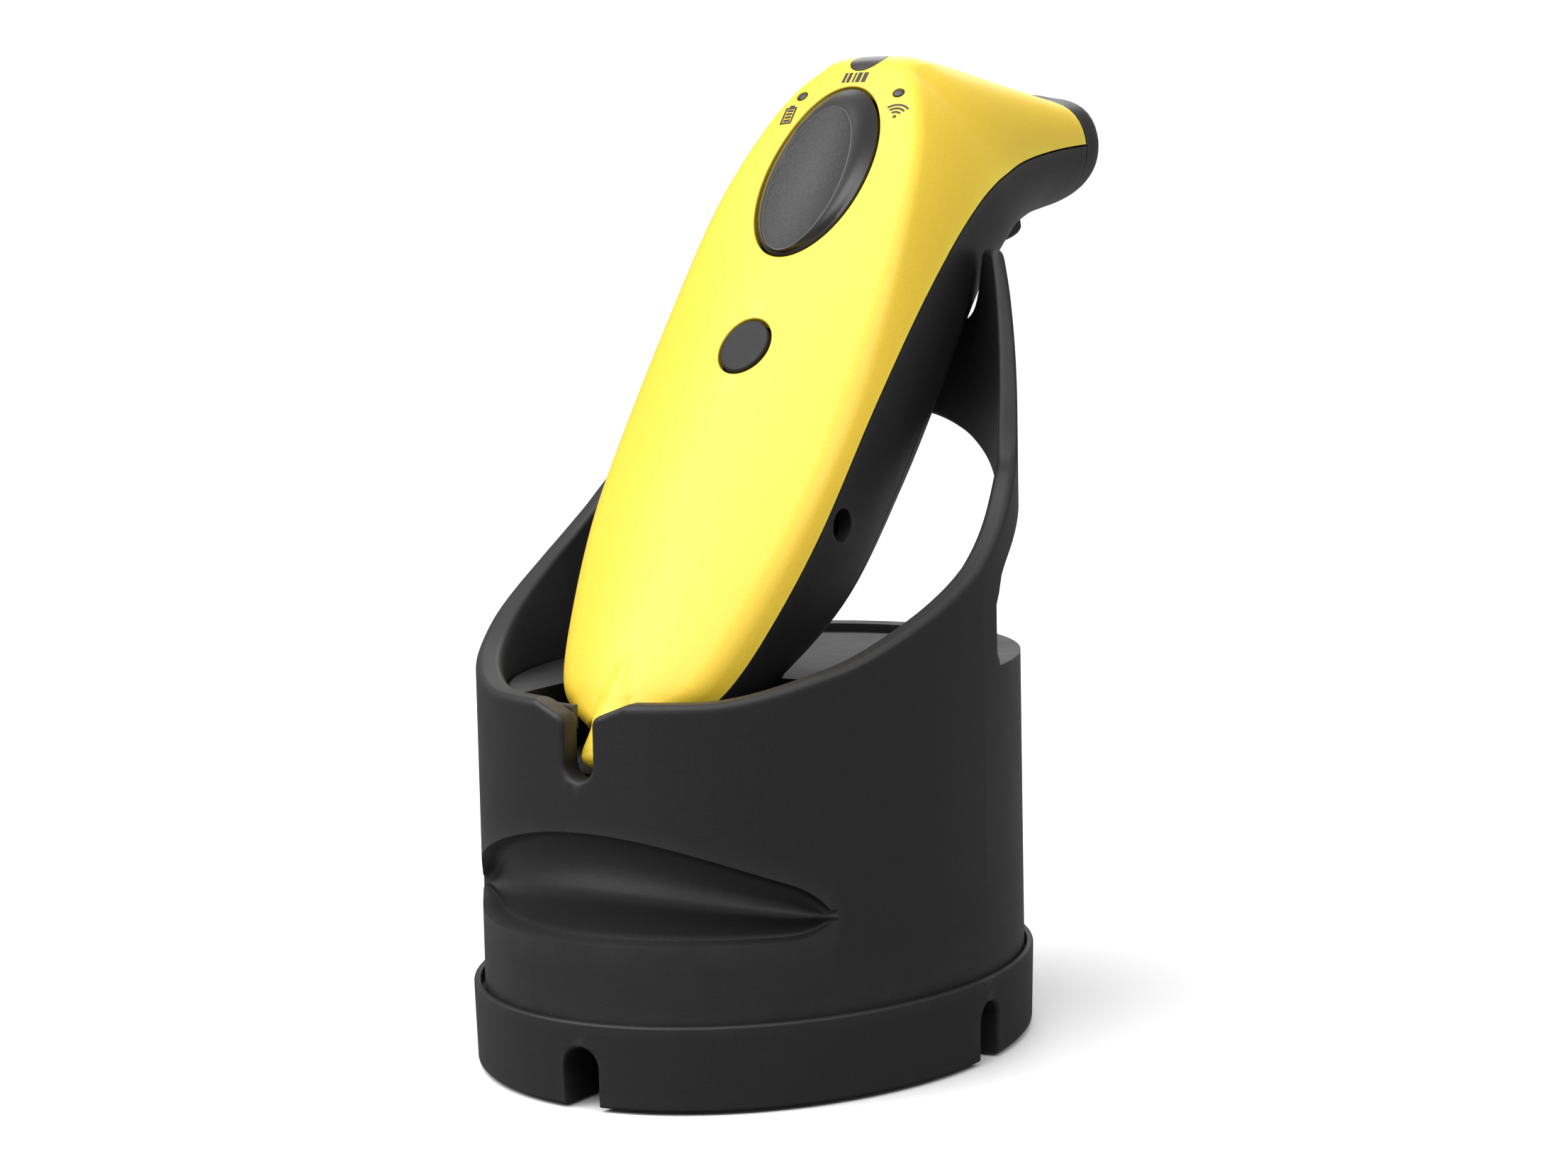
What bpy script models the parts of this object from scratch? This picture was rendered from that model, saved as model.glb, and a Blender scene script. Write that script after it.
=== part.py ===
"""Cordless handheld barcode scanner standing in its charging dock.

Frame: +Z up, +X to the user's right hand side of the dock, -Y the front with the
notch, origin at the middle of the dock's underside.  Sizes are in metres.
"""
import math

import bmesh
import bpy
import numpy as np
from mathutils import Matrix, Vector
from mathutils.bvhtree import BVHTree

MM = 0.001

# ------------------------------------------------------------------ fits
GAP = 0.3 * MM            # between pieces that touch
HOLE_GAP = 0.4 * MM       # round a moving or plugged-in piece
SEAT_GAP = 0.4 * MM       # between the scanner's neck and the dock's saddle

# ------------------------------------------------------------------ dock
BASE_HALF_X = 35.0 * MM
BASE_HALF_Y = 43.6 * MM
BASE_TAPER = 0.993        # underside against top edge
BASE_BOTTOM = 0.5 * MM
BASE_DECK = 9.3 * MM      # top of the solid base under the housing
BASE_TOP = 11.2 * MM      # top of the skirt
SKIRT_WALL = 0.9 * MM
SLOT_WIDTH = 5.0 * MM
SLOT_TOP = 7.9 * MM
CABLE_WELL = (13.0 * MM, 16.0 * MM)
CABLE_WELL_TOP = 6.5 * MM
CENTRE_POST = 4.2 * MM

HOUSING_WALL = 3.8 * MM
TIP_WALL = 1.9 * MM       # wall at the tips of the two horns
WALL_THINS_FROM = 45.0 * MM
FLANGE = 5.2 * MM         # foot flange inside the housing wall
FLANGE_TOP = 12.0 * MM
FRONT_FLATTEN = 0.55 * MM # the front half is this much flatter than an oval
CREASE = 2.2              # degrees round the housing where the two halves meet
RIM_ROUND = 1.0 * MM
SHAFT = 45.0 * MM         # up to here the housing's wall is one plain oval
RIM_FRONT = 50.9 * MM
HORN_TOP = 104.3 * MM

# rim height against angle round the housing: -90 is the front, 90 the back.
# Under the scanner's neck the rim is lowered to a saddle that follows the neck.
RIM_POINTS = (
    (-90, RIM_FRONT), (-64, RIM_FRONT), (-36, 54.0 * MM), (-18, 58.2 * MM), (0, 63.7 * MM),
    (12, 69.1 * MM), (22, 75.0 * MM), (27, 77.4 * MM), (33, 85.4 * MM), (41, 95.4 * MM),
    (46.5, 101.6 * MM), (50, HORN_TOP), (90, HORN_TOP),
)
# lower edge of the strap over the big rear window, same angles
WINDOW_POINTS = (
    (8.3, 58.3 * MM), (11.5, 62.2 * MM), (20, 66.0 * MM), (31, 69.6 * MM), (43, 73.6 * MM),
    (54, 76.6 * MM), (64, 79.0 * MM), (78, 81.2 * MM), (90, 82.0 * MM),
)
WINDOW_SILL = 50.9 * MM

NOTCH_WIDTH = 4.2 * MM
NOTCH_BOTTOM = 41.2 * MM
NOTCH_FLARE = 2.0 * MM

GRIP_HALF_X = 26.4 * MM   # finger recess in the front
GRIP_BOTTOM = 20.8 * MM
GRIP_TOP = 34.8 * MM
GRIP_TIP_TOP = 26.0 * MM
GRIP_DEPTH = 2.5 * MM

FLOOR_TOP = 49.8 * MM
FLOOR_THICK = 3.0 * MM
PIT_HALF_X = 15.6 * MM
PIT_REACH = (36.9 * MM, 7.1 * MM)   # front and back of the pit, ahead of the power button
PIT_BOTTOM = 41.0 * MM
PIT_WALL = 2.0 * MM
PIT_FRONT_WALL = 1.2 * MM
HOOK_SLOT = 4.6 * MM

WEIGHT_BOTTOM = FLANGE_TOP + GAP
WEIGHT_THICK = 6.0 * MM
WEIGHT_HOLE = 14.5 * MM
BOARD_THICK = 1.6 * MM
DOCK_BOARD = (17.0 * MM, 22.0 * MM)
INLET = (4.5 * MM, 3.2 * MM)
INLET_Y = 9.2 * MM
SCREW_RADIUS = 1.2 * MM
SCREW_HEAD = 2.5 * MM
SCREW_HEAD_THICK = 1.4 * MM
FOOT_RADIUS = 3.6 * MM
FOOT_THICK = 1.3 * MM
PIN_X = 5.0 * MM
PIN_REACH = 21.7 * MM
PIN_RADIUS = 0.9 * MM
PIN_COLLAR = 1.35 * MM
PIN_TRAVEL = 1.0 * MM
PAD_RADIUS = 1.5 * MM
BLOCK_BOTTOM = 31.0 * MM

# ------------------------------------------------------------------ scanner
LEAN = math.radians(40)   # from vertical, docked
BUTTON_FROM_FRONT = 43.3 * MM
BUTTON_HEIGHT = 92.6 * MM
SHELL_WALL = 1.8 * MM
NOSE_WALL = 2.2 * MM

# Each section of the body joins a point on the top line to one on the bottom line.
# Columns, in mm: along and up of the top point, along and up of the bottom point,
# half width at the seam, half width of the face, drop of the face edge,
# share of the depth where the seam runs, fullness of the flank, squareness below.
SECTIONS = (
    (-56.4, -1.9, -55.8, -8.6, 4.8, 3.6, 1.0, 0.50, 0.20, 2.4),
    (-53.8, -1.5, -53.3, -12.0, 8.2, 6.8, 1.9, 0.46, 0.20, 2.5),
    (-49.5, -1.1, -49.0, -15.2, 12.0, 10.4, 2.7, 0.41, 0.15, 2.8),
    (-39.0, -0.7, -38.5, -20.6, 15.0, 13.1, 3.0, 0.32, 0.15, 3.2),
    (-24.0, -0.3, -24.0, -25.8, 17.3, 15.7, 3.4, 0.26, 0.15, 3.5),
    (-6.0, 0.0, -6.0, -28.0, 18.2, 16.4, 3.6, 0.25, 0.15, 3.5),
    (11.0, 0.0, 10.0, -28.4, 18.4, 16.1, 3.0, 0.30, 0.15, 3.5),
    (25.0, -0.3, 22.0, -28.8, 18.2, 15.0, 1.8, 0.375, 0.20, 3.3),
    (36.5, -0.8, 30.5, -30.2, 17.6, 13.0, 1.2, 0.455, 0.25, 3.1),
    (46.0, -1.2, 37.2, -33.0, 16.8, 9.6, 0.8, 0.525, 0.30, 2.8),
    (52.3, -2.8, 42.7, -35.6, 15.8, 5.4, 0.5, 0.575, 0.42, 2.6),
    (57.6, -9.4, 48.2, -38.4, 14.9, 5.6, 0.7, 0.565, 0.65, 2.4),
    (66.6, -23.6, 56.0, -43.6, 13.8, 5.8, 0.8, 0.515, 0.80, 2.3),
    (75.4, -37.6, 63.5, -50.2, 13.1, 6.0, 0.8, 0.44, 0.88, 2.2),
)
ROWS_PER_SECTION = 2
SHELL_END_SECTION = 12.97   # the shells stop here, the nose bezel follows
INSIDE_FROM = 1.7           # the hollow starts here, the tail tip is solid
INSIDE_FULL = 2.6           # from here on every inner row lies under its outer row

NOSE_LENGTH = 7.3 * MM
NOSE_END_SHARE = 0.87       # end outline against the outline at the shells

TRIGGER_ALONG = 30.4 * MM
TRIGGER_HALF = (7.7 * MM, 15.0 * MM)
TRIGGER_LIFT = 1.0 * MM
TRIGGER_DISH = 1.1 * MM
TRIGGER_TRAVEL = 0.9 * MM
POWER_HALF = (3.35 * MM, 4.15 * MM)
POWER_TRAVEL = 0.6 * MM
PRESS_CLEAR = 0.15 * MM   # left between a fully pressed button and its switch
LED_ALONG = 44.6 * MM
LED_X = 7.6 * MM
LED_RADIUS = 0.75 * MM
READ_LENS_HALF = (2.4 * MM, 3.2 * MM)
READ_LENS_ALONG = 52.0 * MM

HOOK_HALF_WIDTH = 1.75 * MM
CIRCUIT_TOP = -6.6 * MM
CIRCUIT_THICK = 1.0 * MM
CIRCUIT_HALF_X = 11.0 * MM
CIRCUIT_ENDS = (-33.0 * MM, 34.0 * MM)
SWITCH_TALL = 1.4 * MM
CELL_RADIUS = 7.1 * MM
CELL_ENDS = (-16.5 * MM, 31.0 * MM)
CELL_UP = -17.3 * MM
COVER_ENDS = (-25.0 * MM, 24.0 * MM)
COVER_EDGE = -20.6 * MM
JACK_ALONG = -21.0 * MM
JACK_UP = -10.3 * MM
JACK_BORE = 2.2 * MM
BOSS_ALONG = -38.0 * MM
BOSS_X = 7.0 * MM
BOSS_RADIUS = 2.6 * MM
LOW_BOSS_RADIUS = 3.7 * MM
HEAD_SEAT = -18.9 * MM
BOSS_MEET = -12.0 * MM
ENGINE_SIZE = Vector((18.0 * MM, 11.5 * MM, 9.4 * MM))
ENGINE_PLACE = Vector((0.0, 56.3 * MM, 20.4 * MM))   # from the power button to its lower back edge

BUTTON_POINT = Vector((0.0, BUTTON_FROM_FRONT - BASE_HALF_Y, BUTTON_HEIGHT))   # on the face
PIT_FRONT = BUTTON_POINT.y - PIT_REACH[0]
PIT_BACK = BUTTON_POINT.y - PIT_REACH[1]
PIN_Y = BUTTON_POINT.y - PIN_REACH

ALONG = Vector((0.0, math.sin(LEAN), math.cos(LEAN)))
UP = Vector((0.0, -math.cos(LEAN), math.sin(LEAN)))
SCANNER = Matrix((
    (1.0, 0.0, 0.0, BUTTON_POINT.x),
    (0.0, ALONG.y, UP.y, BUTTON_POINT.y),
    (0.0, ALONG.z, UP.z, BUTTON_POINT.z),
    (0.0, 0.0, 0.0, 1.0),
))  # takes (x, along, up) of the scanner to the dock's frame


# ------------------------------------------------------------------ materials
def material(name, colour, roughness, metallic=0.0):
    mat = bpy.data.materials.new(name)
    mat.use_nodes = True
    shader = mat.node_tree.nodes["Principled BSDF"]
    shader.inputs["Base Color"].default_value = (*colour, 1.0)
    shader.inputs["Roughness"].default_value = roughness
    shader.inputs["Metallic"].default_value = metallic
    return mat


def make_materials():
    return {
        "yellow": material("yellow_plastic", (0.90, 0.72, 0.04), 0.45),
        "black": material("black_plastic", (0.020, 0.020, 0.021), 0.50),
        "charcoal": material("charcoal_plastic", (0.035, 0.035, 0.036), 0.60),
        "rubber": material("button_rubber", (0.030, 0.030, 0.032), 0.55),
        "window": material("window_glass", (0.05, 0.01, 0.01), 0.05),
        "lens": material("indicator_lens", (0.06, 0.06, 0.05), 0.20),
        "board": material("circuit_board", (0.02, 0.16, 0.06), 0.45),
        "metal": material("plated_metal", (0.72, 0.70, 0.66), 0.28, 1.0),
        "gold": material("gold_contact", (0.83, 0.62, 0.24), 0.25, 1.0),
        "steel": material("steel_weight", (0.42, 0.42, 0.43), 0.40, 1.0),
        "cell": material("cell_wrap", (0.10, 0.22, 0.42), 0.35),
        "foot": material("foot_rubber", (0.018, 0.018, 0.018), 0.85),
    }


# ------------------------------------------------------------------ mesh helpers
def add_object(name, verts, faces, mat, guide=False):
    mesh = bpy.data.meshes.new(name)
    mesh.from_pydata([tuple(v) for v in verts], [], faces)
    work = bmesh.new()
    work.from_mesh(mesh)
    bmesh.ops.recalc_face_normals(work, faces=work.faces)
    curved = [f for f in work.faces if len(f.verts) == 4]
    bmesh.ops.triangulate(work, faces=curved)
    work.to_mesh(mesh)
    work.free()
    mesh.shade_smooth()
    mesh.set_sharp_from_angle(angle=math.radians(32))
    obj = bpy.data.objects.new(name, mesh)
    bpy.context.scene.collection.objects.link(obj)
    if mat:
        mesh.materials.append(mat)
    if guide:
        obj.hide_render = True
        obj.display_type = "WIRE"
    return obj


def loft(rings):
    """Verts and faces of a closed solid through rings of equal count."""
    count = len(rings[0])
    verts = [Vector(p) for ring in rings for p in ring]
    faces = []
    for row in range(len(rings) - 1):
        low = row * count
        high = low + count
        for col in range(count):
            nxt = (col + 1) % count
            faces.append((low + col, low + nxt, high + nxt, high + col))
    faces.append(tuple(range(count)))
    faces.append(tuple(range((len(rings) - 1) * count, len(rings) * count)))
    return verts, faces


def sheet_solid(outer, inner):
    """Closed solid between two open grids of equal size (lists of rows)."""
    rows = len(outer)
    cols = len(outer[0])
    verts = [Vector(p) for grid in (outer, inner) for row in grid for p in row]
    far = rows * cols
    faces = []
    for r in range(rows - 1):
        for c in range(cols - 1):
            a = r * cols + c
            quad = (a, a + 1, a + cols + 1, a + cols)
            faces.append(quad)
            faces.append(tuple(far + i for i in reversed(quad)))
    border = [c for c in range(cols)]
    border += [r * cols + cols - 1 for r in range(1, rows)]
    border += [(rows - 1) * cols + c for c in range(cols - 2, -1, -1)]
    border += [r * cols for r in range(rows - 2, 0, -1)]
    for i, a in enumerate(border):
        b = border[(i + 1) % len(border)]
        faces.append((a, b, far + b, far + a))
    return verts, faces


def tube_solid(outer, inner):
    """Closed ring-shaped solid: rows run round, outer upward then inner downward."""
    rings = outer + inner
    count = len(rings[0])
    verts = [Vector(p) for ring in rings for p in ring]
    faces = []
    for row in range(len(rings)):
        low = row * count
        high = ((row + 1) % len(rings)) * count
        for col in range(count):
            nxt = (col + 1) % count
            faces.append((low + col, low + nxt, high + nxt, high + col))
    return verts, faces


def ellipse(half_a, half_b, count, height, frame=None, centre=(0.0, 0.0)):
    points = []
    for i in range(count):
        turn = 2 * math.pi * i / count
        point = Vector((centre[0] + half_a * math.cos(turn),
                        centre[1] + half_b * math.sin(turn), height))
        points.append(frame @ point if frame else point)
    return points


def turned(name, profile, count, mat, frame=None, guide=False):
    """Solid of revolution about Z: profile is (radius, height) from bottom to top."""
    rings = [ellipse(r, r, count, z, frame) for r, z in profile]
    return add_object(name, *loft(rings), mat, guide)


def oval_prism(name, half_a, half_b, low, high, mat, frame=None, count=32, guide=False):
    rings = [ellipse(half_a, half_b, count, z, frame) for z in (low, high)]
    return add_object(name, *loft(rings), mat, guide)


def box(name, low, high, mat, frame=None, guide=False, bevel=0.0):
    corners = [Vector((x, y, z)) for z in (low[2], high[2])
               for x, y in ((low[0], low[1]), (high[0], low[1]), (high[0], high[1]), (low[0], high[1]))]
    if frame:
        corners = [frame @ c for c in corners]
    faces = [(0, 3, 2, 1), (4, 5, 6, 7), (0, 1, 5, 4), (1, 2, 6, 5), (2, 3, 7, 6), (3, 0, 4, 7)]
    obj = add_object(name, corners, faces, mat, guide)
    if bevel:
        mod = obj.modifiers.new("edges", "BEVEL")
        mod.width = bevel
        mod.segments = 1
    return obj


def boolean(obj, other, operation="DIFFERENCE"):
    mod = obj.modifiers.new(operation.lower(), "BOOLEAN")
    mod.operation = operation
    mod.solver = "EXACT"
    mod.object = other


def spline(points, at):
    """Smooth value through (key, value) pairs, with no overshoot at flat stretches."""
    keys = [p[0] for p in points]
    vals = [p[1] for p in points]
    last = len(points) - 1
    if at <= keys[0]:
        return vals[0]
    if at >= keys[last]:
        return vals[last]
    i = max(j for j in range(last) if keys[j] <= at)
    rises = [(vals[j + 1] - vals[j]) / (keys[j + 1] - keys[j]) for j in range(last)]

    def slope(j):
        if j in (0, last):
            return 0.0
        left, right = rises[j - 1], rises[j]
        return 0.0 if left * right <= 0 else 2 * left * right / (left + right)

    width = keys[i + 1] - keys[i]
    u = (at - keys[i]) / width
    return (vals[i] * (1 + 2 * u) * (1 - u) ** 2 + slope(i) * width * u * (1 - u) ** 2
            + vals[i + 1] * u * u * (3 - 2 * u) + slope(i + 1) * width * u * u * (u - 1))


# ------------------------------------------------------------------ scanner body
def section_at(place):
    """Section values at a place along the body, smoothly between the given sections."""
    table = np.array(SECTIONS)
    place = min(max(place, 0.0), len(table) - 1.0)
    i = min(int(place), len(table) - 2)
    u = place - i
    p0 = table[max(i - 1, 0)]
    p1 = table[i]
    p2 = table[i + 1]
    p3 = table[min(i + 2, len(table) - 1)]
    vals = 0.5 * (2 * p1 + (p2 - p0) * u + (2 * p0 - 5 * p1 + 4 * p2 - p3) * u * u
                  + (3 * p1 - p0 - 3 * p2 + p3) * u ** 3)
    vals[:7] *= MM
    return vals


def section_half(vals, part, inset, seam_gap, steps):
    """Half outline (x, depth) of one section, from the middle outward to the seam,
    or from the seam to the middle below."""
    depth = math.hypot(vals[0] - vals[2], vals[1] - vals[3])
    width = vals[4] - inset
    seam = depth * vals[7]
    points = []
    if part == "top":
        face = max(vals[5] - 0.7 * inset, 0.4 * width)
        drop = vals[6]
        top = inset
        seam = seam - seam_gap
        for k in range(steps[0]):
            x = face * k / steps[0]
            points.append((x, top + drop * (x / face) ** 2))
        edge = (face, top + drop)
        mid = (0.5 * (face + width), 0.5 * (top + drop + seam))
        corner = (width, top + drop)
        ctrl = (mid[0] + vals[8] * (corner[0] - mid[0]), mid[1] + vals[8] * (corner[1] - mid[1]))
        for k in range(steps[1] + 1):
            t = k / steps[1]
            points.append(tuple((1 - t) ** 2 * edge[a] + 2 * t * (1 - t) * ctrl[a]
                                + t * t * (width, seam)[a] for a in (0, 1)))
    else:
        low = depth - inset
        seam = seam + seam_gap
        power = vals[9]
        for k in range(steps[2] + 1):
            turn = 0.5 * math.pi * k / steps[2]
            x = width * math.cos(turn) ** (2 / power)
            z = seam + (low - seam) * math.sin(turn) ** (2 / power)
            points.append((x, z))
    return points


def section_row(place, part, inset=0.0, seam_gap=0.0, steps=(4, 3, 7)):
    """One row of points across the body in the dock's frame."""
    vals = section_at(place)
    top = Vector((0.0, vals[0], vals[1]))
    down = Vector((0.0, vals[2] - vals[0], vals[3] - vals[1])).normalized()
    half = section_half(vals, part, inset, seam_gap, steps)
    if part == "top":
        half = half[::-1]
    left = [(-x, z) for x, z in half]
    right = half[::-1][1:]
    return [SCANNER @ (top + Vector((x, 0, 0)) + down * z) for x, z in left + right]


def body_places(first, last):
    count = int((len(SECTIONS) - 1) * ROWS_PER_SECTION)
    return [first + (last - first) * i / count for i in range(count + 1)]


def shell_grids(part, inset, grow=0.0):
    outer_at = body_places(0.0, SHELL_END_SECTION)
    inner_at = [p + INSIDE_FROM * max(1 - p / INSIDE_FULL, 0.0) for p in outer_at]
    outer = [section_row(p, part, -grow, GAP / 2) for p in outer_at]
    inner = [section_row(p, part, inset, GAP / 2) for p in inner_at]
    return outer, inner


def whole_row(place, inset):
    """Closed outline of one whole section."""
    top = section_row(place, "top", inset)
    low = section_row(place, "low", inset)
    return top + low[::-1][1:-1]


def top_shell_blank(name, mat, guide=False):
    return add_object(name, *sheet_solid(*shell_grids("top", SHELL_WALL)), mat, guide)


def low_shell_blank(name, mat, guide=False):
    return add_object(name, *sheet_solid(*shell_grids("low", SHELL_WALL)), mat, guide)


def hook_solid(mat):
    """Finger at the tail that drops into the dock's notch and runs up the face as a ridge."""
    # along, top, bottom, half width against the finger's
    stations = (
        (-46.0, -1.1, -2.2, 0.3), (-50.0, -0.75, -3.2, 0.9), (-53.4, -0.9, -4.8, 2.2),
        (-54.8, -1.0, -5.2, 1.75), (-56.5, -1.0, -5.4, 1.25), (-59.0, -0.95, -5.4, 1.0),
        (-61.0, -0.95, -5.0, 0.95), (-62.3, -1.3, -4.5, 1.0), (-63.0, -2.1, -3.6, 0.7),
    )
    rings = []
    for along, top, low, share in stations:
        half = share * HOOK_HALF_WIDTH
        ring = []
        for k in range(12):
            turn = 2 * math.pi * (k + 0.5) / 12
            side = math.copysign(abs(math.cos(turn)) ** 0.6, math.cos(turn))
            lift = math.copysign(abs(math.sin(turn)) ** 0.6, math.sin(turn))
            up = 0.5 * (top + low) * MM + 0.5 * (top - low) * MM * lift
            ring.append(SCANNER @ Vector((half * side, along * MM, up)))
        rings.append(ring)
    return add_object("cut_hook", *loft(rings), mat, guide=True)


def face_frame(along, place, tilt=0.0):
    """Frame on the face at a distance along the body: Z is out of the face."""
    height = section_at(place)[1]
    turn = Matrix.Rotation(-tilt, 4, "X")
    return SCANNER @ Matrix.Translation((0.0, along, height)) @ turn


def make_top_shell(mats):
    shell = top_shell_blank("top_shell", mats["yellow"])
    boolean(shell, hook_solid(mats["yellow"]), "UNION")
    for side in (-1, 1):
        boss = post("cut_top_boss_%d" % (side + 1), side, BOSS_MEET + GAP / 2, -3.1 * MM, BOSS_RADIUS)
        boolean(shell, boss, "UNION")
        bore = post("cut_top_bore_%d" % (side + 1), side, BOSS_MEET - 2 * MM, -4.5 * MM,
                    SCREW_RADIUS + HOLE_GAP)
        boolean(shell, bore)
    trigger = face_frame(TRIGGER_ALONG, 7.5)
    hole = oval_prism("cut_trigger", TRIGGER_HALF[0] + HOLE_GAP, TRIGGER_HALF[1] + HOLE_GAP,
                      -8 * MM, 6 * MM, None, trigger, 36, True)
    boolean(shell, hole)
    power = face_frame(0.0, 5.4)
    hole = oval_prism("cut_power", POWER_HALF[0] + HOLE_GAP, POWER_HALF[1] + HOLE_GAP,
                      -8 * MM, 6 * MM, None, power, 28, True)
    boolean(shell, hole)
    for side in (-1, 1):
        hole = led_cutter("cut_led_%d" % (side + 1), side, LED_RADIUS + GAP)
        boolean(shell, hole)
    boolean(shell, read_lens_cutter("cut_read_lens", GAP))
    return shell


def post(name, side, low, high, radius, along=None):
    along = BOSS_ALONG if along is None else along
    frame = SCANNER @ Matrix.Translation((side * BOSS_X, along, 0.0))
    return turned(name, ((radius, low), (radius, high)), 16, None, frame, True)


def led_cutter(name, side, radius):
    frame = SCANNER @ Matrix.Translation((side * LED_X, LED_ALONG, 0.0))
    return turned(name, ((radius, -6 * MM), (radius, 3 * MM)), 12, None, frame, True)


def read_lens_cutter(name, grow):
    frame = face_frame(READ_LENS_ALONG, 10.0, math.radians(28))
    return oval_prism(name, READ_LENS_HALF[0] + grow, READ_LENS_HALF[1] + grow,
                      -7 * MM, 5 * MM, None, frame, 24, True)


def make_plugs(mats):
    """Small lenses that fill their holes flush with the top shell."""
    jobs = (
        ("battery_led_lens", led_cutter("cut_lens_0", -1, LED_RADIUS)),
        ("link_led_lens", led_cutter("cut_lens_1", 1, LED_RADIUS)),
        ("read_indicator_lens", read_lens_cutter("cut_lens_2", 0.0)),
    )
    for name, cutter in jobs:
        plug = top_shell_blank(name, mats["lens"])
        boolean(plug, cutter, "INTERSECT")


def cover_cutter(name, grow):
    low = (-22 * MM, COVER_ENDS[0] - grow, -45 * MM)
    high = (22 * MM, COVER_ENDS[1] + grow, COVER_EDGE + grow)
    return box(name, low, high, None, SCANNER, True)


def pad_cutter(name, side, radius):
    frame = Matrix.Translation((side * PIN_X, PIN_Y, 0.0))
    return turned(name, ((radius, 36 * MM), (radius, 56 * MM)), 20, None, frame, True)


def make_low_shell(mats):
    shell = low_shell_blank("lower_shell", mats["black"])
    for side in (-1, 1):
        tag = side + 1
        boolean(shell, post("cut_low_boss_%d" % tag, side, HEAD_SEAT - 0.7 * MM, BOSS_MEET - GAP / 2, LOW_BOSS_RADIUS),
                "UNION")
        boolean(shell, post("cut_low_bore_%d" % tag, side, -40 * MM, BOSS_MEET + 2 * MM,
                            SCREW_RADIUS + HOLE_GAP))
        boolean(shell, post("cut_low_sink_%d" % tag, side, -40 * MM, HEAD_SEAT, SCREW_HEAD + HOLE_GAP))
        boolean(shell, pad_cutter("cut_pad_%d" % tag, side, PAD_RADIUS + GAP))
    boolean(shell, cover_cutter("cut_cover", GAP))
    jack = SCANNER @ Matrix.Translation((0.0, JACK_ALONG, JACK_UP)) @ Matrix.Rotation(math.pi / 2, 4, "Y")
    boolean(shell, turned("cut_jack", ((JACK_BORE, 8 * MM), (JACK_BORE, 30 * MM)), 24, None, jack, True))
    return shell


def make_battery_cover(mats):
    cover = low_shell_blank("battery_cover", mats["black"])
    boolean(cover, cover_cutter("cut_cover_piece", 0.0), "INTERSECT")


def make_charge_pads(mats):
    for side, name in ((-1, "charge_pad_left"), (1, "charge_pad_right")):
        pad = low_shell_blank(name, mats["gold"])
        boolean(pad, pad_cutter("cut_%s" % name, side, PAD_RADIUS), "INTERSECT")


def nose_ring(share, ahead, inset):
    """Outline of the nose at a distance ahead of the shells, scaled about its middle."""
    vals = section_at(SHELL_END_SECTION)
    top = Vector((0.0, vals[0], vals[1]))
    low = Vector((0.0, vals[2], vals[3]))
    down = (low - top).normalized()
    forward = Vector((0.0, down.z, -down.y))
    if forward.dot(Vector((0.0, 0.643, -0.766))) < 0:
        forward = -forward
    middle = SCANNER @ ((top + low) / 2)
    shift = (SCANNER.to_3x3() @ forward) * ahead
    return [middle + (p - middle) * share + shift for p in whole_row(SHELL_END_SECTION, inset)]


def make_nose(mats):
    end = NOSE_END_SHARE
    outer = [nose_ring(1.0, GAP, 0.0), nose_ring(1.0, 0.35 * NOSE_LENGTH, 0.0),
             nose_ring(0.97, 0.66 * NOSE_LENGTH, 0.0), nose_ring(0.925, 0.88 * NOSE_LENGTH, 0.0),
             nose_ring(end, NOSE_LENGTH, 0.0)]
    inner = [nose_ring(end, NOSE_LENGTH - 0.3 * MM, NOSE_WALL),
             nose_ring(0.93, 0.5 * NOSE_LENGTH, NOSE_WALL), nose_ring(1.0, GAP, NOSE_WALL)]
    add_object("nose_bezel", *tube_solid(outer, inner), mats["black"])
    pane = [nose_ring(0.86, 0.62 * NOSE_LENGTH, NOSE_WALL), nose_ring(0.86, 0.62 * NOSE_LENGTH + 1.2 * MM, NOSE_WALL)]
    add_object("scan_window", *loft(pane), mats["window"])


def make_head_foot(mats):
    """Small rubber rest under the head, just behind the nose."""
    vals = section_at(12.3)
    base = Vector((0.0, vals[2], vals[3]))
    rear = section_at(11.6)
    run = Vector((0.0, vals[2] - rear[2], vals[3] - rear[3])).normalized()
    down = Vector((0.0, run.z, -run.y))
    if down.z > 0:
        down = -down
    rings = []
    for share, lift in ((1.0, 0.5), (1.0, 1.6), (0.8, 2.6)):
        ring = []
        for k in range(16):
            turn = 2 * math.pi * k / 16
            cx = math.copysign(abs(math.cos(turn)) ** 0.6, math.cos(turn))
            sy = math.copysign(abs(math.sin(turn)) ** 0.6, math.sin(turn))
            local = base + Vector((4.4 * MM * share * cx, 0, 0)) + run * (4.2 * MM * share * sy - 1.5 * MM)
            ring.append(SCANNER @ (local + down * lift * MM))
        rings.append(ring)
    add_object("head_foot", *loft(rings), mats["foot"])


# ------------------------------------------------------------------ buttons and insides
def plunger_depth(place, travel):
    switch_top = CIRCUIT_TOP + GAP + SWITCH_TALL
    return switch_top + PRESS_CLEAR + travel - section_at(place)[1]


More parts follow.
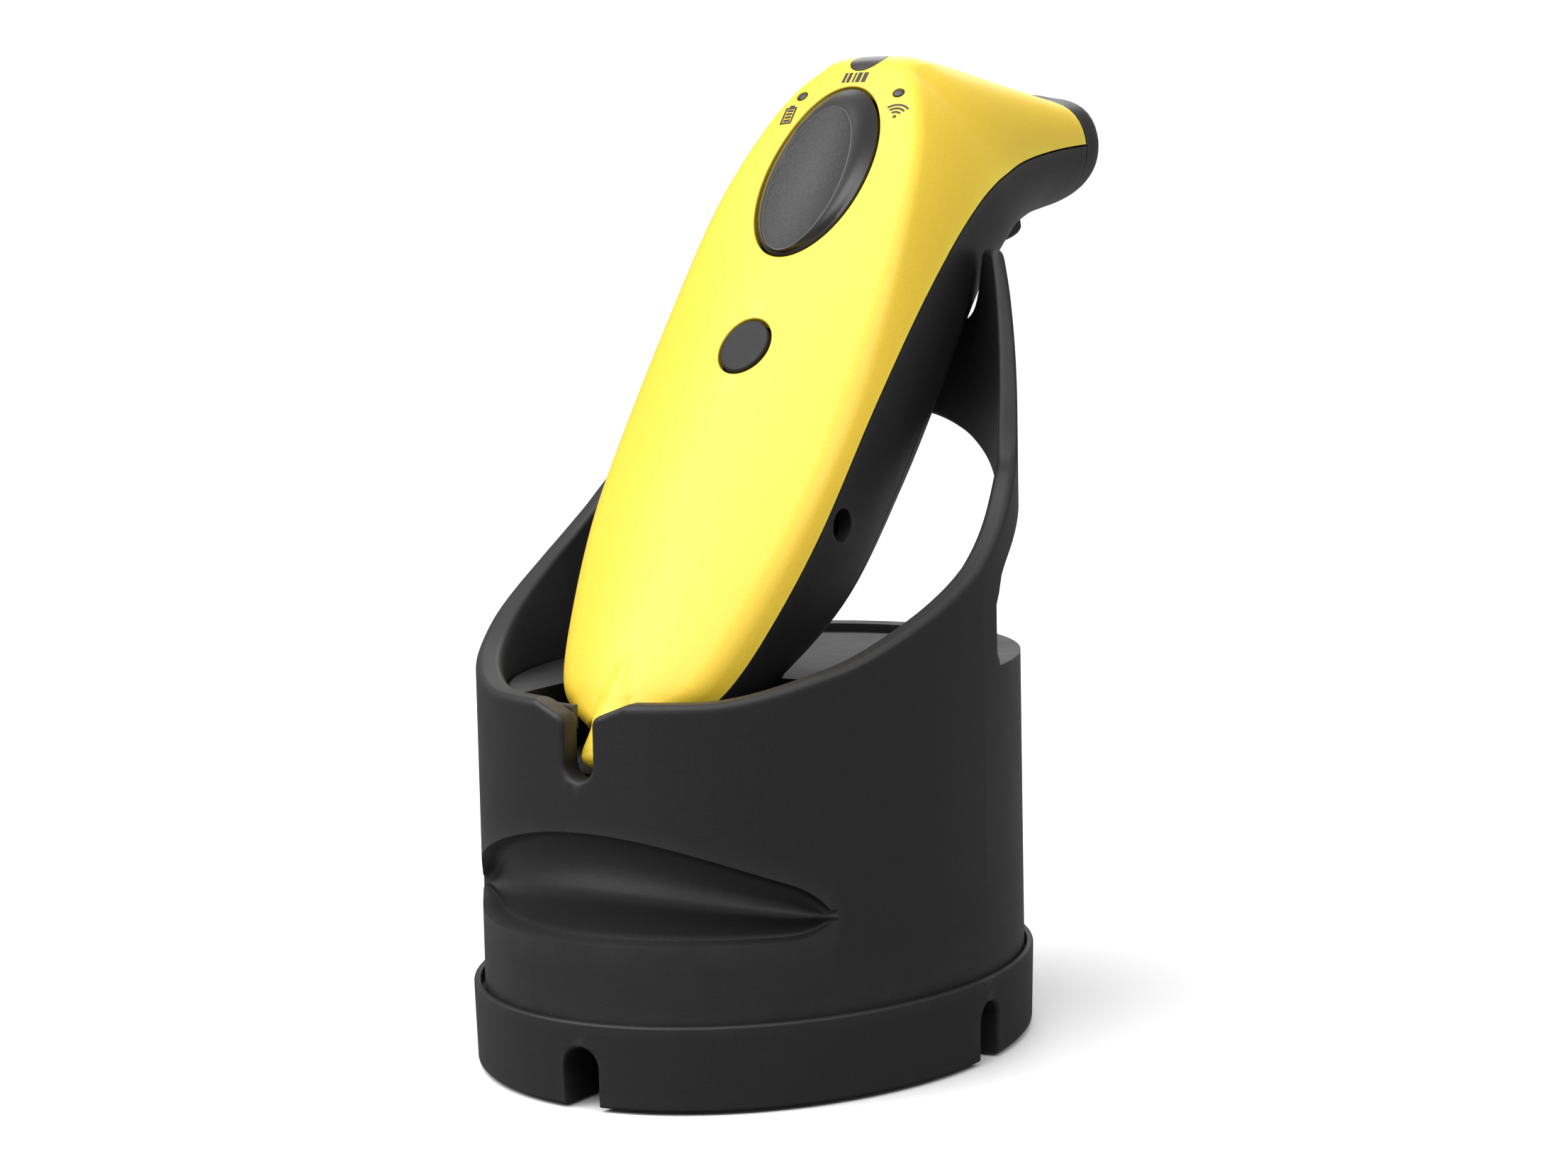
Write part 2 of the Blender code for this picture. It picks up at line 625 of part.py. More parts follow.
def make_trigger(mats):
    frame = face_frame(TRIGGER_ALONG, 7.5)
    half_x, half_y = TRIGGER_HALF
    dish_x, dish_y = half_x - 2.1 * MM, half_y - 2.5 * MM
    back = -2.4 * MM
    count = 36
    depth = plunger_depth(7.5, TRIGGER_TRAVEL)
    rings = [
        ellipse(half_x - 1.0 * MM, half_y - 1.0 * MM, count, depth, frame),
        ellipse(half_x, half_y, count, depth + 0.9 * MM, frame),
        ellipse(half_x, half_y, count, 0.0, frame),
        ellipse(half_x - 0.35 * MM, half_y - 0.35 * MM, count, 0.35 * MM, frame),
        ellipse(dish_x + 0.3 * MM, dish_y + 0.3 * MM, count, TRIGGER_LIFT - 0.08 * MM, frame, (0.0, back)),
        ellipse(dish_x, dish_y, count, TRIGGER_LIFT - 0.05 * MM, frame, (0.0, back)),
    ]
    for share in (0.8, 0.5, 0.2):
        sink = TRIGGER_LIFT - TRIGGER_DISH * (1 - share * share)
        rings.append(ellipse(dish_x * share, dish_y * share, count, sink, frame, (0.0, back)))
    button = add_object("trigger_button", *loft(rings), mats["rubber"])
    set_origin(button, frame.translation)


def make_power_button(mats):
    frame = face_frame(0.0, 5.4)
    half_x, half_y = POWER_HALF
    rings = [ellipse(half_x, half_y, 28, plunger_depth(5.4, POWER_TRAVEL), frame),
             ellipse(half_x, half_y, 28, -0.15 * MM, frame),
             ellipse(half_x - 0.3 * MM, half_y - 0.3 * MM, 28, 0.15 * MM, frame)]
    button = add_object("power_button", *loft(rings), mats["rubber"])
    set_origin(button, frame.translation)


def set_origin(obj, point):
    shift = Matrix.Translation(-Vector(point))
    obj.data.transform(shift)
    obj.location = point


def make_electronics(mats):
    top = CIRCUIT_TOP
    low = CIRCUIT_TOP - CIRCUIT_THICK
    box("main_board", (-CIRCUIT_HALF_X, CIRCUIT_ENDS[0], low), (CIRCUIT_HALF_X, CIRCUIT_ENDS[1], top),
        mats["board"], SCANNER)
    seat = top + GAP
    for name, along, half in (("trigger_switch", TRIGGER_ALONG - 4 * MM, 3.0 * MM), ("power_switch", 0.0, 2.4 * MM)):
        box(name, (-half, along - half, seat), (half, along + half, seat + SWITCH_TALL), mats["metal"],
            SCANNER, bevel=0.3 * MM)
    beeper = SCANNER @ Matrix.Translation((0.0, -13.0 * MM, 0.0))
    turned("beeper", ((4.2 * MM, seat), (4.2 * MM, seat + 2.4 * MM), (3.8 * MM, seat + 2.7 * MM)), 24,
           mats["black"], beeper)
    motor = SCANNER @ Matrix.Translation((0.0, -28.0 * MM, low - GAP - 2.1 * MM)) @ Matrix.Rotation(math.pi / 2, 4, "Y")
    turned("vibration_motor", ((2.1 * MM, -5 * MM), (2.1 * MM, 5 * MM)), 20, mats["metal"], motor)
    cell = SCANNER @ Matrix.Translation((0.0, 0.0, CELL_UP)) @ Matrix.Rotation(-math.pi / 2, 4, "X")
    r = CELL_RADIUS
    turned("battery_cell", ((r - 0.6 * MM, CELL_ENDS[0]), (r, CELL_ENDS[0] + 0.6 * MM),
                            (r, CELL_ENDS[1] - 1.6 * MM), (2.6 * MM, CELL_ENDS[1] - 1.6 * MM),
                            (2.6 * MM, CELL_ENDS[1])), 28, mats["cell"], cell)
    jack_low = (6.0 * MM, JACK_ALONG - 3.0 * MM, JACK_UP - 2.4 * MM)
    jack_high = (14.4 * MM, JACK_ALONG + 3.0 * MM, low - GAP)
    jack = box("charge_jack", jack_low, jack_high, mats["black"], SCANNER, bevel=0.25 * MM)
    bore = SCANNER @ Matrix.Translation((0.0, JACK_ALONG, JACK_UP)) @ Matrix.Rotation(math.pi / 2, 4, "Y")
    cut = turned("cut_jack_bore", ((1.7 * MM, 8.0 * MM), (1.7 * MM, 16.0 * MM)), 20, None, bore, True)
    boolean(jack, cut)
    turned("jack_pin", ((0.5 * MM, 8.0 * MM + GAP), (0.5 * MM, 13.6 * MM), (0.2 * MM, 14.0 * MM)), 12,
           mats["metal"], bore)


def make_scan_engine(mats):
    half = Vector((0.5 * ENGINE_SIZE.x, 0.0, 0.0))
    low = BUTTON_POINT + ENGINE_PLACE - half
    high = low + ENGINE_SIZE
    box("scan_engine", low, high, mats["black"], bevel=0.5 * MM)
    mid_z = 0.5 * (low.z + high.z)
    ahead = Matrix.Rotation(-math.pi / 2, 4, "X")
    for name, x, radius, long in (("imager_lens", -3.6 * MM, 3.2 * MM, 2.6 * MM),
                                  ("aimer_lens", 4.6 * MM, 2.1 * MM, 2.0 * MM)):
        frame = Matrix.Translation((x, high.y + GAP, mid_z)) @ ahead
        turned(name, ((radius, 0.0), (radius, long), (radius * 0.8, long + 0.5 * MM)), 24, mats["window"], frame)
    box("engine_bracket", (0.7 * low.x, low.y - 1.5 * MM, low.z - GAP - 1.0 * MM),
        (0.7 * high.x, high.y - 3 * MM, low.z - GAP), mats["metal"])


def make_shell_screws(mats):
    for side, name in ((-1, "shell_screw_left"), (1, "shell_screw_right")):
        frame = SCANNER @ Matrix.Translation((side * BOSS_X, BOSS_ALONG, 0.0))
        head = HEAD_SEAT - GAP
        turned(name, ((SCREW_HEAD, head - SCREW_HEAD_THICK), (SCREW_HEAD, head), (SCREW_RADIUS, head),
                      (SCREW_RADIUS, -5.2 * MM)), 12, mats["metal"], frame)


# ------------------------------------------------------------------ dock
def housing_point(angle, inset, height):
    """Point on the housing wall: ellipse in front, a slightly creased curve behind."""
    half_x = BASE_HALF_X - SKIRT_WALL - GAP - inset
    half_y = BASE_HALF_Y - SKIRT_WALL - GAP - inset
    x = half_x * math.cos(angle)
    y = half_y * math.sin(angle)
    start = half_y * math.sin(math.radians(CREASE))
    if y < start:
        share = (start - y) / (start + half_y)
        x *= 1 - 4 * share * (1 - share) * FRONT_FLATTEN / half_x
    return Vector((x, y, height))


def column_angles():
    """Degrees round the housing, closer together where the horns rise."""
    half = []
    for first, last, steps in ((-90, CREASE, 15), (CREASE, 42, 7), (42, 78, 12), (78, 90, 2)):
        half += [first + (last - first) * k / steps for k in range(steps)]
    return half + [90] + [180 - a for a in half[:0:-1]]


def wall_ring(inset, height, angles):
    return [housing_point(math.radians(a), inset, height) for a in angles]


def rim_height(degrees):
    return spline(RIM_POINTS, degrees if degrees <= 90 else 180 - degrees)


def wall_at(height):
    share = (height - WALL_THINS_FROM) / (HORN_TOP - WALL_THINS_FROM)
    return HOUSING_WALL + (TIP_WALL - HOUSING_WALL) * min(max(share, 0.0), 1.0)


def grip_cutter():
    """Leaf-shaped finger recess: two grooves with a ridge between, crisp at its border."""
    half_x = BASE_HALF_X - SKIRT_WALL - GAP
    reach = math.degrees(math.asin(GRIP_HALF_X / half_x))
    profile = (0.4, 1.0, 0.85, 0.45, 0.5, 0.8, 1.0, 0.9, 0.62, 0.15)
    steps = 25
    rings = []
    for k in range(steps + 1):
        share = -0.999 + 1.998 * k / steps
        turn = math.radians(-90 + reach * share)
        across = abs(housing_point(turn, 0.0, 0.0).x) / GRIP_HALF_X
        top = GRIP_TOP - (GRIP_TOP - GRIP_TIP_TOP) * across ** 2
        middle = 0.5 * (top + GRIP_BOTTOM)
        close = math.sqrt(max(1 - max((across - 0.88) / 0.12, 0.0) ** 2, 0.02))
        low = middle + (GRIP_BOTTOM - middle) * close
        top = middle + (top - middle) * close
        deep = GRIP_DEPTH * (1 - across ** 4) ** 0.5 * close + 0.05 * MM
        ring = [housing_point(turn, -4 * MM, low), housing_point(turn, -0.03 * MM, low)]
        for i, part in enumerate(profile):
            rise = (i + 0.5) / len(profile)
            ring.append(housing_point(turn, deep * part, low + (top - low) * rise))
        ring += [housing_point(turn, -0.03 * MM, top), housing_point(turn, -4 * MM, top)]
        rings.append(ring)
    return add_object("cut_grip", *loft(rings), None, True)


def seat_limit(tree, point, clear):
    """Height of the scanner's underside above a point, less a clearance."""
    hit = tree.ray_cast(Vector((point.x, point.y, 0.055)), Vector((0.0, 0.0, 1.0)))
    return hit[0].z - clear if hit[0] is not None else None


def scanner_tree():
    rows = [whole_row(p, 0.0) for p in body_places(0.0, SHELL_END_SECTION)]
    verts, faces = loft(rows)
    return BVHTree.FromPolygons([tuple(v) for v in verts], faces)


def saddle_heights(tree, angles):
    heights = []
    for degrees in angles:
        height = rim_height(degrees)
        if height > 80 * MM:
            wall = wall_at(height)
            around = [(share, aside) for share in (-0.05, 0.3, 0.65, 1.05) for aside in (-1.2, 0.0, 1.2)]
            for share, aside in around:
                point = housing_point(math.radians(degrees + aside), share * wall, 0.0)
                limit = seat_limit(tree, point, SEAT_GAP)
                if limit is not None:
                    height = min(height, limit)
        heights.append(height)
    return heights


def rim_rows(angles, heights, side, insets_drops):
    rows = []
    for inset, drop in insets_drops:
        row = []
        for a, height in zip(angles, heights):
            wall = wall_at(height)
            step = min(inset, 0.35 * wall)
            row.append(housing_point(math.radians(a), step if side == "out" else wall - step, height - drop))
        rows.append(row)
    return rows


def shaft_rows(angles, heights, side, shares):
    """Rows between the plain lower wall and the rim."""
    rows = []
    for share in shares:
        row = []
        for a, height in zip(angles, heights):
            z = SHAFT + share * (height - RIM_ROUND - SHAFT)
            row.append(housing_point(math.radians(a), 0.0 if side == "out" else wall_at(z), z))
        rows.append(row)
    return rows


def make_housing(mats, tree):
    angles = column_angles()
    heights = saddle_heights(tree, angles)
    foot = BASE_DECK + GAP
    edge = ((0.0, RIM_ROUND), (0.3 * RIM_ROUND, 0.3 * RIM_ROUND), (RIM_ROUND, 0.0))
    outer = [wall_ring(0.0, z, angles) for z in (foot, GRIP_BOTTOM - MM, GRIP_TOP + MM, SHAFT)]
    outer += shaft_rows(angles, heights, "out", (0.4, 0.75))
    outer += rim_rows(angles, heights, "out", edge)
    inner = rim_rows(angles, heights, "in", edge[::-1])
    inner += shaft_rows(angles, heights, "in", (0.75, 0.4))
    for inset, z in ((HOUSING_WALL, SHAFT), (HOUSING_WALL, FLANGE_TOP), (HOUSING_WALL + FLANGE, FLANGE_TOP),
                     (HOUSING_WALL + FLANGE, foot)):
        inner.append(wall_ring(inset, z, angles))
    housing = add_object("dock_housing", *tube_solid(outer, inner), mats["charcoal"])
    boolean(housing, window_cutter())
    boolean(housing, notch_cutter())
    boolean(housing, grip_cutter())
    for i, spot in enumerate(screw_spots()):
        bore = SCREW_RADIUS + HOLE_GAP
        hole = turned("cut_flange_%d" % i, ((bore, foot - MM), (bore, FLANGE_TOP + MM)),
                      12, None, Matrix.Translation(spot), True)
        boolean(housing, hole)


def window_cutter():
    """Curved slab that opens the back wall under the strap."""
    rings = []
    first = WINDOW_POINTS[0][0]
    steps = 36
    for k in range(steps + 1):
        degrees = first + (180 - 2 * first) * k / steps
        folded = degrees if degrees <= 90 else 180 - degrees
        top = spline(WINDOW_POINTS, folded)
        turn = math.radians(degrees)
        low = WINDOW_SILL + 1.8 * MM if k in (0, steps) else WINDOW_SILL
        rings.append([housing_point(turn, -6 * MM, low), housing_point(turn, 9 * MM, low),
                      housing_point(turn, 9 * MM, top), housing_point(turn, -6 * MM, top)])
    return add_object("cut_window", *loft(rings), None, True)


def notch_cutter():
    """U-shaped notch in the front rim with flared mouth."""
    half = NOTCH_WIDTH / 2
    outline = []
    for k in range(9):
        turn = math.pi + math.pi * k / 8
        outline.append((half * math.cos(turn), NOTCH_BOTTOM + half + half * math.sin(turn)))
    flare = NOTCH_FLARE
    mouth = RIM_FRONT - flare + 0.1 * MM
    for k in range(5):
        turn = math.pi - 0.5 * math.pi * k / 4
        outline.append((half + flare + flare * math.cos(turn), mouth + flare * math.sin(turn)))
    outline.append((half + flare, RIM_FRONT + 6 * MM))
    outline.append((-half - flare, RIM_FRONT + 6 * MM))
    for k in range(4, -1, -1):
        turn = math.pi - 0.5 * math.pi * k / 4
        outline.append((-half - flare - flare * math.cos(turn), mouth + flare * math.sin(turn)))
    rings = [[(x, y, z) for x, z in outline] for y in (-BASE_HALF_Y - 16 * MM, 9 * MM - BASE_HALF_Y)]
    return add_object("cut_notch", *loft(rings), None, True)


def make_cradle(mats):
    """Dock floor with the pit that takes the scanner's tail."""
    inset = HOUSING_WALL + GAP
    plate_rings = [wall_ring(inset, z, column_angles()) for z in (FLOOR_TOP - FLOOR_THICK, FLOOR_TOP)]
    cradle = add_object("cradle_floor", *loft(plate_rings), mats["charcoal"])
    tub_low = (-PIT_HALF_X - PIT_WALL, PIT_FRONT + 1.0 * MM, PIT_BOTTOM - PIT_WALL)
    tub_high = (PIT_HALF_X + PIT_WALL, PIT_BACK + PIT_WALL, FLOOR_TOP - 1 * MM)
    # the tub keeps inside the curved front wall
    tub = trimmed_tub("cut_tub", tub_low, tub_high, inset)
    boolean(cradle, tub, "UNION")
    boolean(cradle, trimmed_tub("cut_pit", (-PIT_HALF_X, PIT_FRONT, PIT_BOTTOM),
                                (PIT_HALF_X, PIT_BACK, FLOOR_TOP + 5 * MM), inset + PIT_FRONT_WALL))
    boolean(cradle, box("cut_hook_slot", (-HOOK_SLOT / 2, -BASE_HALF_Y - 16 * MM, PIT_BOTTOM),
                        (HOOK_SLOT / 2, PIT_FRONT + 4 * MM, FLOOR_TOP + 5 * MM), None, None, True))
    for side in (-1, 1):
        hole = turned("cut_pin_hole_%d" % (side + 1), ((PIN_RADIUS + HOLE_GAP, 30 * MM), (PIN_RADIUS + HOLE_GAP, 45 * MM)),
                      16, None, Matrix.Translation((side * PIN_X, PIN_Y, 0)), True)
        boolean(cradle, hole)


def trimmed_tub(name, low, high, inset):
    """Block whose front follows the inside of the wall."""
    count = 14
    outline = [(low[0], high[1]), (high[0], high[1])][::-1]
    front = []
    for k in range(count + 1):
        x = low[0] + (high[0] - low[0]) * k / count
        half_x = BASE_HALF_X - SKIRT_WALL - GAP - inset
        half_y = BASE_HALF_Y - SKIRT_WALL - GAP - inset
        wall = -half_y * math.sqrt(1 - (x / half_x) ** 2)
        front.append((x, max(low[1], wall)))
    outline = front + outline
    rings = [[(x, y, z) for x, y in outline] for z in (low[2], high[2])]
    return add_object(name, *loft(rings), None, True)


def screw_spots():
    inset = SKIRT_WALL + GAP + HOUSING_WALL + 0.5 * FLANGE
    a, b = BASE_HALF_X - inset, BASE_HALF_Y - inset
    turns = (48, 132, 228, 312)
    return [Vector((a * math.cos(math.radians(t)), b * math.sin(math.radians(t)), 0.0)) for t in turns]


def foot_spots():
    a, b = BASE_HALF_X - 9.5 * MM, BASE_HALF_Y - 9.5 * MM
    turns = (24, 156, 204, 336)
    return [Vector((a * math.cos(math.radians(t)), b * math.sin(math.radians(t)), 0.0)) for t in turns]


def make_base(mats):
    count = 72
    low = BASE_TAPER
    rings = [ellipse(BASE_HALF_X * low - 0.5 * MM, BASE_HALF_Y * low - 0.5 * MM, count, BASE_BOTTOM),
             ellipse(BASE_HALF_X * low, BASE_HALF_Y * low, count, BASE_BOTTOM + 0.5 * MM),
             ellipse(BASE_HALF_X, BASE_HALF_Y, count, BASE_TOP - 0.3 * MM),
             ellipse(BASE_HALF_X - 0.3 * MM, BASE_HALF_Y - 0.3 * MM, count, BASE_TOP),
             ellipse(BASE_HALF_X - SKIRT_WALL, BASE_HALF_Y - SKIRT_WALL, count, BASE_TOP),
             ellipse(BASE_HALF_X - SKIRT_WALL, BASE_HALF_Y - SKIRT_WALL, count, BASE_DECK)]
    base = add_object("base_ring", *loft(rings), mats["charcoal"])
    boolean(base, oval_prism("cut_well", CABLE_WELL[0], CABLE_WELL[1], -5 * MM, CABLE_WELL_TOP, None, None, 28, True))
    for i, turn in enumerate((0, 90, 180, 270)):
        boolean(base, slot_cutter("cut_slot_%d" % i, math.radians(turn)))
    post = ((CENTRE_POST, BASE_BOTTOM), (CENTRE_POST, CABLE_WELL_TOP + 0.5 * MM))
    boolean(base, turned("cut_centre_post", post, 24, None, None, True), "UNION")
    boolean(base, box("cut_inlet_way", (-INLET[0] - HOLE_GAP, INLET_Y - INLET[1] - HOLE_GAP, 2 * MM),
                      (INLET[0] + HOLE_GAP, INLET_Y + INLET[1] + HOLE_GAP, 15 * MM), None, None, True))
    for i, spot in enumerate(screw_spots()):
        frame = Matrix.Translation(spot)
        boolean(base, turned("cut_base_bore_%d" % i, ((SCREW_HEAD + HOLE_GAP, -2 * MM), (SCREW_HEAD + HOLE_GAP, 3.2 * MM),
                                                     (SCREW_RADIUS + HOLE_GAP, 3.2 * MM), (SCREW_RADIUS + HOLE_GAP, 14 * MM)),
                             12, None, frame, True))
    for i, spot in enumerate(foot_spots()):
        boolean(base, turned("cut_foot_%d" % i, ((FOOT_RADIUS + GAP, -2 * MM), (FOOT_RADIUS + GAP, FOOT_THICK + GAP)),
                             16, None, Matrix.Translation(spot), True))


def slot_cutter(name, turn):
    """Cable slot with a round top, from the well out through the skirt."""
    half = SLOT_WIDTH / 2
    outline = [(half, -3 * MM), (half, SLOT_TOP - half)]
    for k in range(1, 8):
        a = math.pi * k / 8
        outline.append((half * math.cos(a), SLOT_TOP - half + half * math.sin(a)))
    outline += [(-half, SLOT_TOP - half), (-half, -3 * MM)]
    rot = Matrix.Rotation(turn, 4, "Z")
    rings = [[rot @ Vector((reach, x, z)) for x, z in outline] for reach in (CENTRE_POST + 0.8 * MM, BASE_HALF_Y + 20 * MM)]
    return add_object(name, *loft(rings), None, True)


def make_base_fittings(mats):
    names = ("front_right", "front_left", "rear_left", "rear_right")
    order = {"rear_right": 0, "rear_left": 1, "front_left": 2, "front_right": 3}
    screws, feet = screw_spots(), foot_spots()
    head = 3.2 * MM - GAP
    for name in names:
        frame = Matrix.Translation(screws[order[name]])
        turned("base_screw_%s" % name, ((SCREW_HEAD, head - SCREW_HEAD_THICK), (SCREW_HEAD, head),
                                         (SCREW_RADIUS, head), (SCREW_RADIUS, FLANGE_TOP - 0.2 * MM)),
               12, mats["metal"], frame)
        frame = Matrix.Translation(feet[order[name]])
        turned("foot_%s" % name, ((FOOT_RADIUS - 0.3 * MM, 0.0), (FOOT_RADIUS, 0.3 * MM), (FOOT_RADIUS, FOOT_THICK)),
               16, mats["foot"], frame)


def make_dock_insides(mats, tree):
    plate_top = WEIGHT_BOTTOM + WEIGHT_THICK
    rings = [wall_ring(HOUSING_WALL + 2 * GAP, z, column_angles()) for z in (WEIGHT_BOTTOM, plate_top)]
    weight = add_object("base_weight", *loft(rings), mats["steel"])
    boolean(weight, turned("cut_weight", ((WEIGHT_HOLE, 5 * MM), (WEIGHT_HOLE, 30 * MM)), 28, None, None, True))
    board_low = plate_top + GAP
    board_top = board_low + BOARD_THICK
    box("dock_board", (-DOCK_BOARD[0], -DOCK_BOARD[1], board_low), (DOCK_BOARD[0], DOCK_BOARD[1], board_top), mats["board"])
    inlet = box("power_inlet", (-INLET[0], INLET_Y - INLET[1], CABLE_WELL_TOP - 0.5 * MM),
                (INLET[0], INLET_Y + INLET[1], board_low - GAP), mats["metal"])
    shell = 0.6 * MM
    boolean(inlet, box("cut_inlet", (shell - INLET[0], INLET_Y - INLET[1] + shell, 0.0),
                       (INLET[0] - shell, INLET_Y + INLET[1] - shell, CABLE_WELL_TOP + 6 * MM), None, None, True))
    block_top = PIT_BOTTOM - PIT_WALL - GAP
    block = box("contact_block", (-PIN_X - 3.2 * MM, PIN_Y - 3.2 * MM, BLOCK_BOTTOM),
                (PIN_X + 3.2 * MM, PIN_Y + 3.2 * MM, block_top), mats["black"], bevel=0.4 * MM)
    bore = PIN_COLLAR + HOLE_GAP
    collar_low = BLOCK_BOTTOM + 4.2 * MM
    for side, tag in ((-1, "left"), (1, "right")):
        spot = Matrix.Translation((side * PIN_X, PIN_Y, 0.0))
        boolean(block, turned("cut_block_%s" % tag, ((bore, BLOCK_BOTTOM + 1.5 * MM), (bore, 50 * MM)), 18, None, spot, True))
        tip = pad_height(tree, side) - GAP
        turned("contact_pin_%s" % tag, ((PIN_COLLAR, collar_low), (PIN_COLLAR, collar_low + 0.8 * MM),
                                        (PIN_RADIUS, collar_low + 0.8 * MM), (PIN_RADIUS, tip - 0.5 * MM),
                                        (0.5 * PIN_RADIUS, tip)), 16, mats["gold"], spot)
        coil_spring("contact_spring_%s" % tag, spot, 0.95 * MM, 0.16 * MM, BLOCK_BOTTOM + 1.5 * MM + GAP,
                    collar_low - GAP, mats["metal"])
    box("contact_flex", (-6 * MM, PIN_Y + 0.6 * MM, board_top + GAP), (6 * MM, PIN_Y + 1.0 * MM, BLOCK_BOTTOM - GAP),
        mats["board"])


def pad_height(tree, side):
    heights = []
    for dx in (-1, 0, 1):
        for dy in (-1, 0, 1):
            origin = Vector((side * PIN_X + dx * PIN_RADIUS * 0.7, PIN_Y + dy * PIN_RADIUS * 0.7, 0.02))
            hit = tree.ray_cast(origin, Vector((0.0, 0.0, 1.0)))
            heights.append(hit[0].z)
    return min(heights)


def coil_spring(name, frame, radius, wire, low, high, mat):
    """Round-wire coil as a swept tube with flat ends."""
    turns = 3
    per_turn = 8
    around = 5
    total = turns * per_turn
    rings = []
    for k in range(total + 1):
        turn = 2 * math.pi * k / per_turn
        z = low + wire + (high - low - 2 * wire) * k / total
        out = Vector((math.cos(turn), math.sin(turn), 0.0))
        centre = out * radius + Vector((0, 0, z))
        ring = []
        for j in range(around):
            a = 2 * math.pi * j / around
            ring.append(frame @ (centre + out * wire * math.cos(a) + Vector((0, 0, wire * math.sin(a)))))
        rings.append(ring)
    add_object(name, *loft(rings), mat)


# ------------------------------------------------------------------ build
def clear_scene():
    for obj in list(bpy.data.objects):
        bpy.data.objects.remove(obj, do_unlink=True)


def main():
    clear_scene()
    mats = make_materials()
    tree = scanner_tree()
    make_top_shell(mats)
    make_low_shell(mats)
    make_plugs(mats)
    make_battery_cover(mats)
    make_charge_pads(mats)
    make_nose(mats)
    make_head_foot(mats)
    make_trigger(mats)
    make_power_button(mats)
    make_electronics(mats)
    make_scan_engine(mats)
    make_shell_screws(mats)
    make_housing(mats, tree)
    make_cradle(mats)
    make_base(mats)
    make_base_fittings(mats)
    make_dock_insides(mats, tree)


main()
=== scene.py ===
"""Cordless handheld barcode scanner in its charging dock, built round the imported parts."""
import math

import bmesh
import bpy
import numpy as np
from bpy.props import FloatProperty, FloatVectorProperty, IntProperty, PointerProperty
from mathutils import Matrix, Vector
from mathutils.bvhtree import BVHTree


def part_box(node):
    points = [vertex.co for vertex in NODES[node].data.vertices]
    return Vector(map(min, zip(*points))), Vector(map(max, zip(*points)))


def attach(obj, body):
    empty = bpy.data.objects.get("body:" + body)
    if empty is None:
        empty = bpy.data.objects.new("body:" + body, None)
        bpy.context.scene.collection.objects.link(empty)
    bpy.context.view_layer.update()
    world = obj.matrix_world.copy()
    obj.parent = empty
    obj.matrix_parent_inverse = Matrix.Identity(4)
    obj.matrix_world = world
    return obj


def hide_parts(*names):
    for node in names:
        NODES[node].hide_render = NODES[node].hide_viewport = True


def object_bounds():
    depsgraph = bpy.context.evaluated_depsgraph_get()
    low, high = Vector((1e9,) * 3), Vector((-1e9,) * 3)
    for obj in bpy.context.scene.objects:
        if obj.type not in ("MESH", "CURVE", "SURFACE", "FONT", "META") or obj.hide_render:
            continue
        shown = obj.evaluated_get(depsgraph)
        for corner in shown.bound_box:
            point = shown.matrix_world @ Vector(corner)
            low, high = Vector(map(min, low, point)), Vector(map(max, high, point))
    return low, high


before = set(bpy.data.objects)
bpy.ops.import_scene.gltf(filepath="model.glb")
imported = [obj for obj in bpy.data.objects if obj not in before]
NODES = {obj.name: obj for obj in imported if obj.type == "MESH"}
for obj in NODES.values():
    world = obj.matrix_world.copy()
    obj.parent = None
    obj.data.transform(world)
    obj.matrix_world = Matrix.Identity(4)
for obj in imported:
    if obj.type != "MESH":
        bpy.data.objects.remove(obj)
CAD_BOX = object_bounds()

bl_info = {
    "name": "Barcode scanner and dock",
    "version": (1, 0, 0),
    "blender": (4, 5, 0),
    "location": "View3D > Sidebar > Scanner",
    "description": "Builds the finished look of a barcode scanner standing in its charging dock",
    "category": "Object",
}

MM = 0.001
BASE_LOW, BASE_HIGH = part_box("base_ring")
PIN_LOW, PIN_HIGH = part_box("contact_pin_right")

# ------------------------------------------------------------------ shapes of the parts
GAP = 0.3 * MM
HOLE_GAP = 0.4 * MM
SKIRT_WALL = 0.9 * MM
BASE_TAPER = 0.993
BASE_DECK = 9.3 * MM
SLOT_WIDTH = 5.0 * MM
SLOT_TOP = 7.9 * MM
# depth inside the skirt's face and widening of the slot there, in mm
SLOT_MOUTH = ((0.8, 0.0), (0.42, 0.1), (0.18, 0.3), (-0.02, 0.6), (-12, 0.6))
CABLE_WELL = (13.0 * MM, 16.0 * MM)
CABLE_WELL_TOP = 6.5 * MM
CENTRE_POST = 4.2 * MM
INLET = (4.5 * MM, 3.2 * MM)
INLET_Y = 9.2 * MM
HOUSING_WALL = 3.8 * MM
TIP_WALL = 1.9 * MM
WALL_THINS_FROM = 45.0 * MM
FLANGE = 5.2 * MM
FLANGE_TOP = 12.0 * MM
FRONT_FLATTEN = 0.55 * MM
CREASE = 2.2
RIM_ROUND = 1.0 * MM
SHAFT = 45.0 * MM
RIM_FRONT = 50.9 * MM
HORN_TOP = 104.3 * MM
RIM_POINTS = (
    (-90, RIM_FRONT), (-64, RIM_FRONT), (-36, 54.0 * MM), (-18, 58.2 * MM), (0, 63.7 * MM),
    (12, 69.1 * MM), (22, 75.0 * MM), (27, 77.4 * MM), (33, 85.4 * MM), (41, 95.4 * MM),
    (46.5, 101.6 * MM), (50, HORN_TOP), (90, HORN_TOP),
)
WINDOW_POINTS = (
    (8.3, 58.3 * MM), (11.5, 62.2 * MM), (20, 66.0 * MM), (31, 69.6 * MM), (43, 73.6 * MM),
    (54, 76.6 * MM), (64, 79.0 * MM), (78, 81.2 * MM), (90, 82.0 * MM),
)
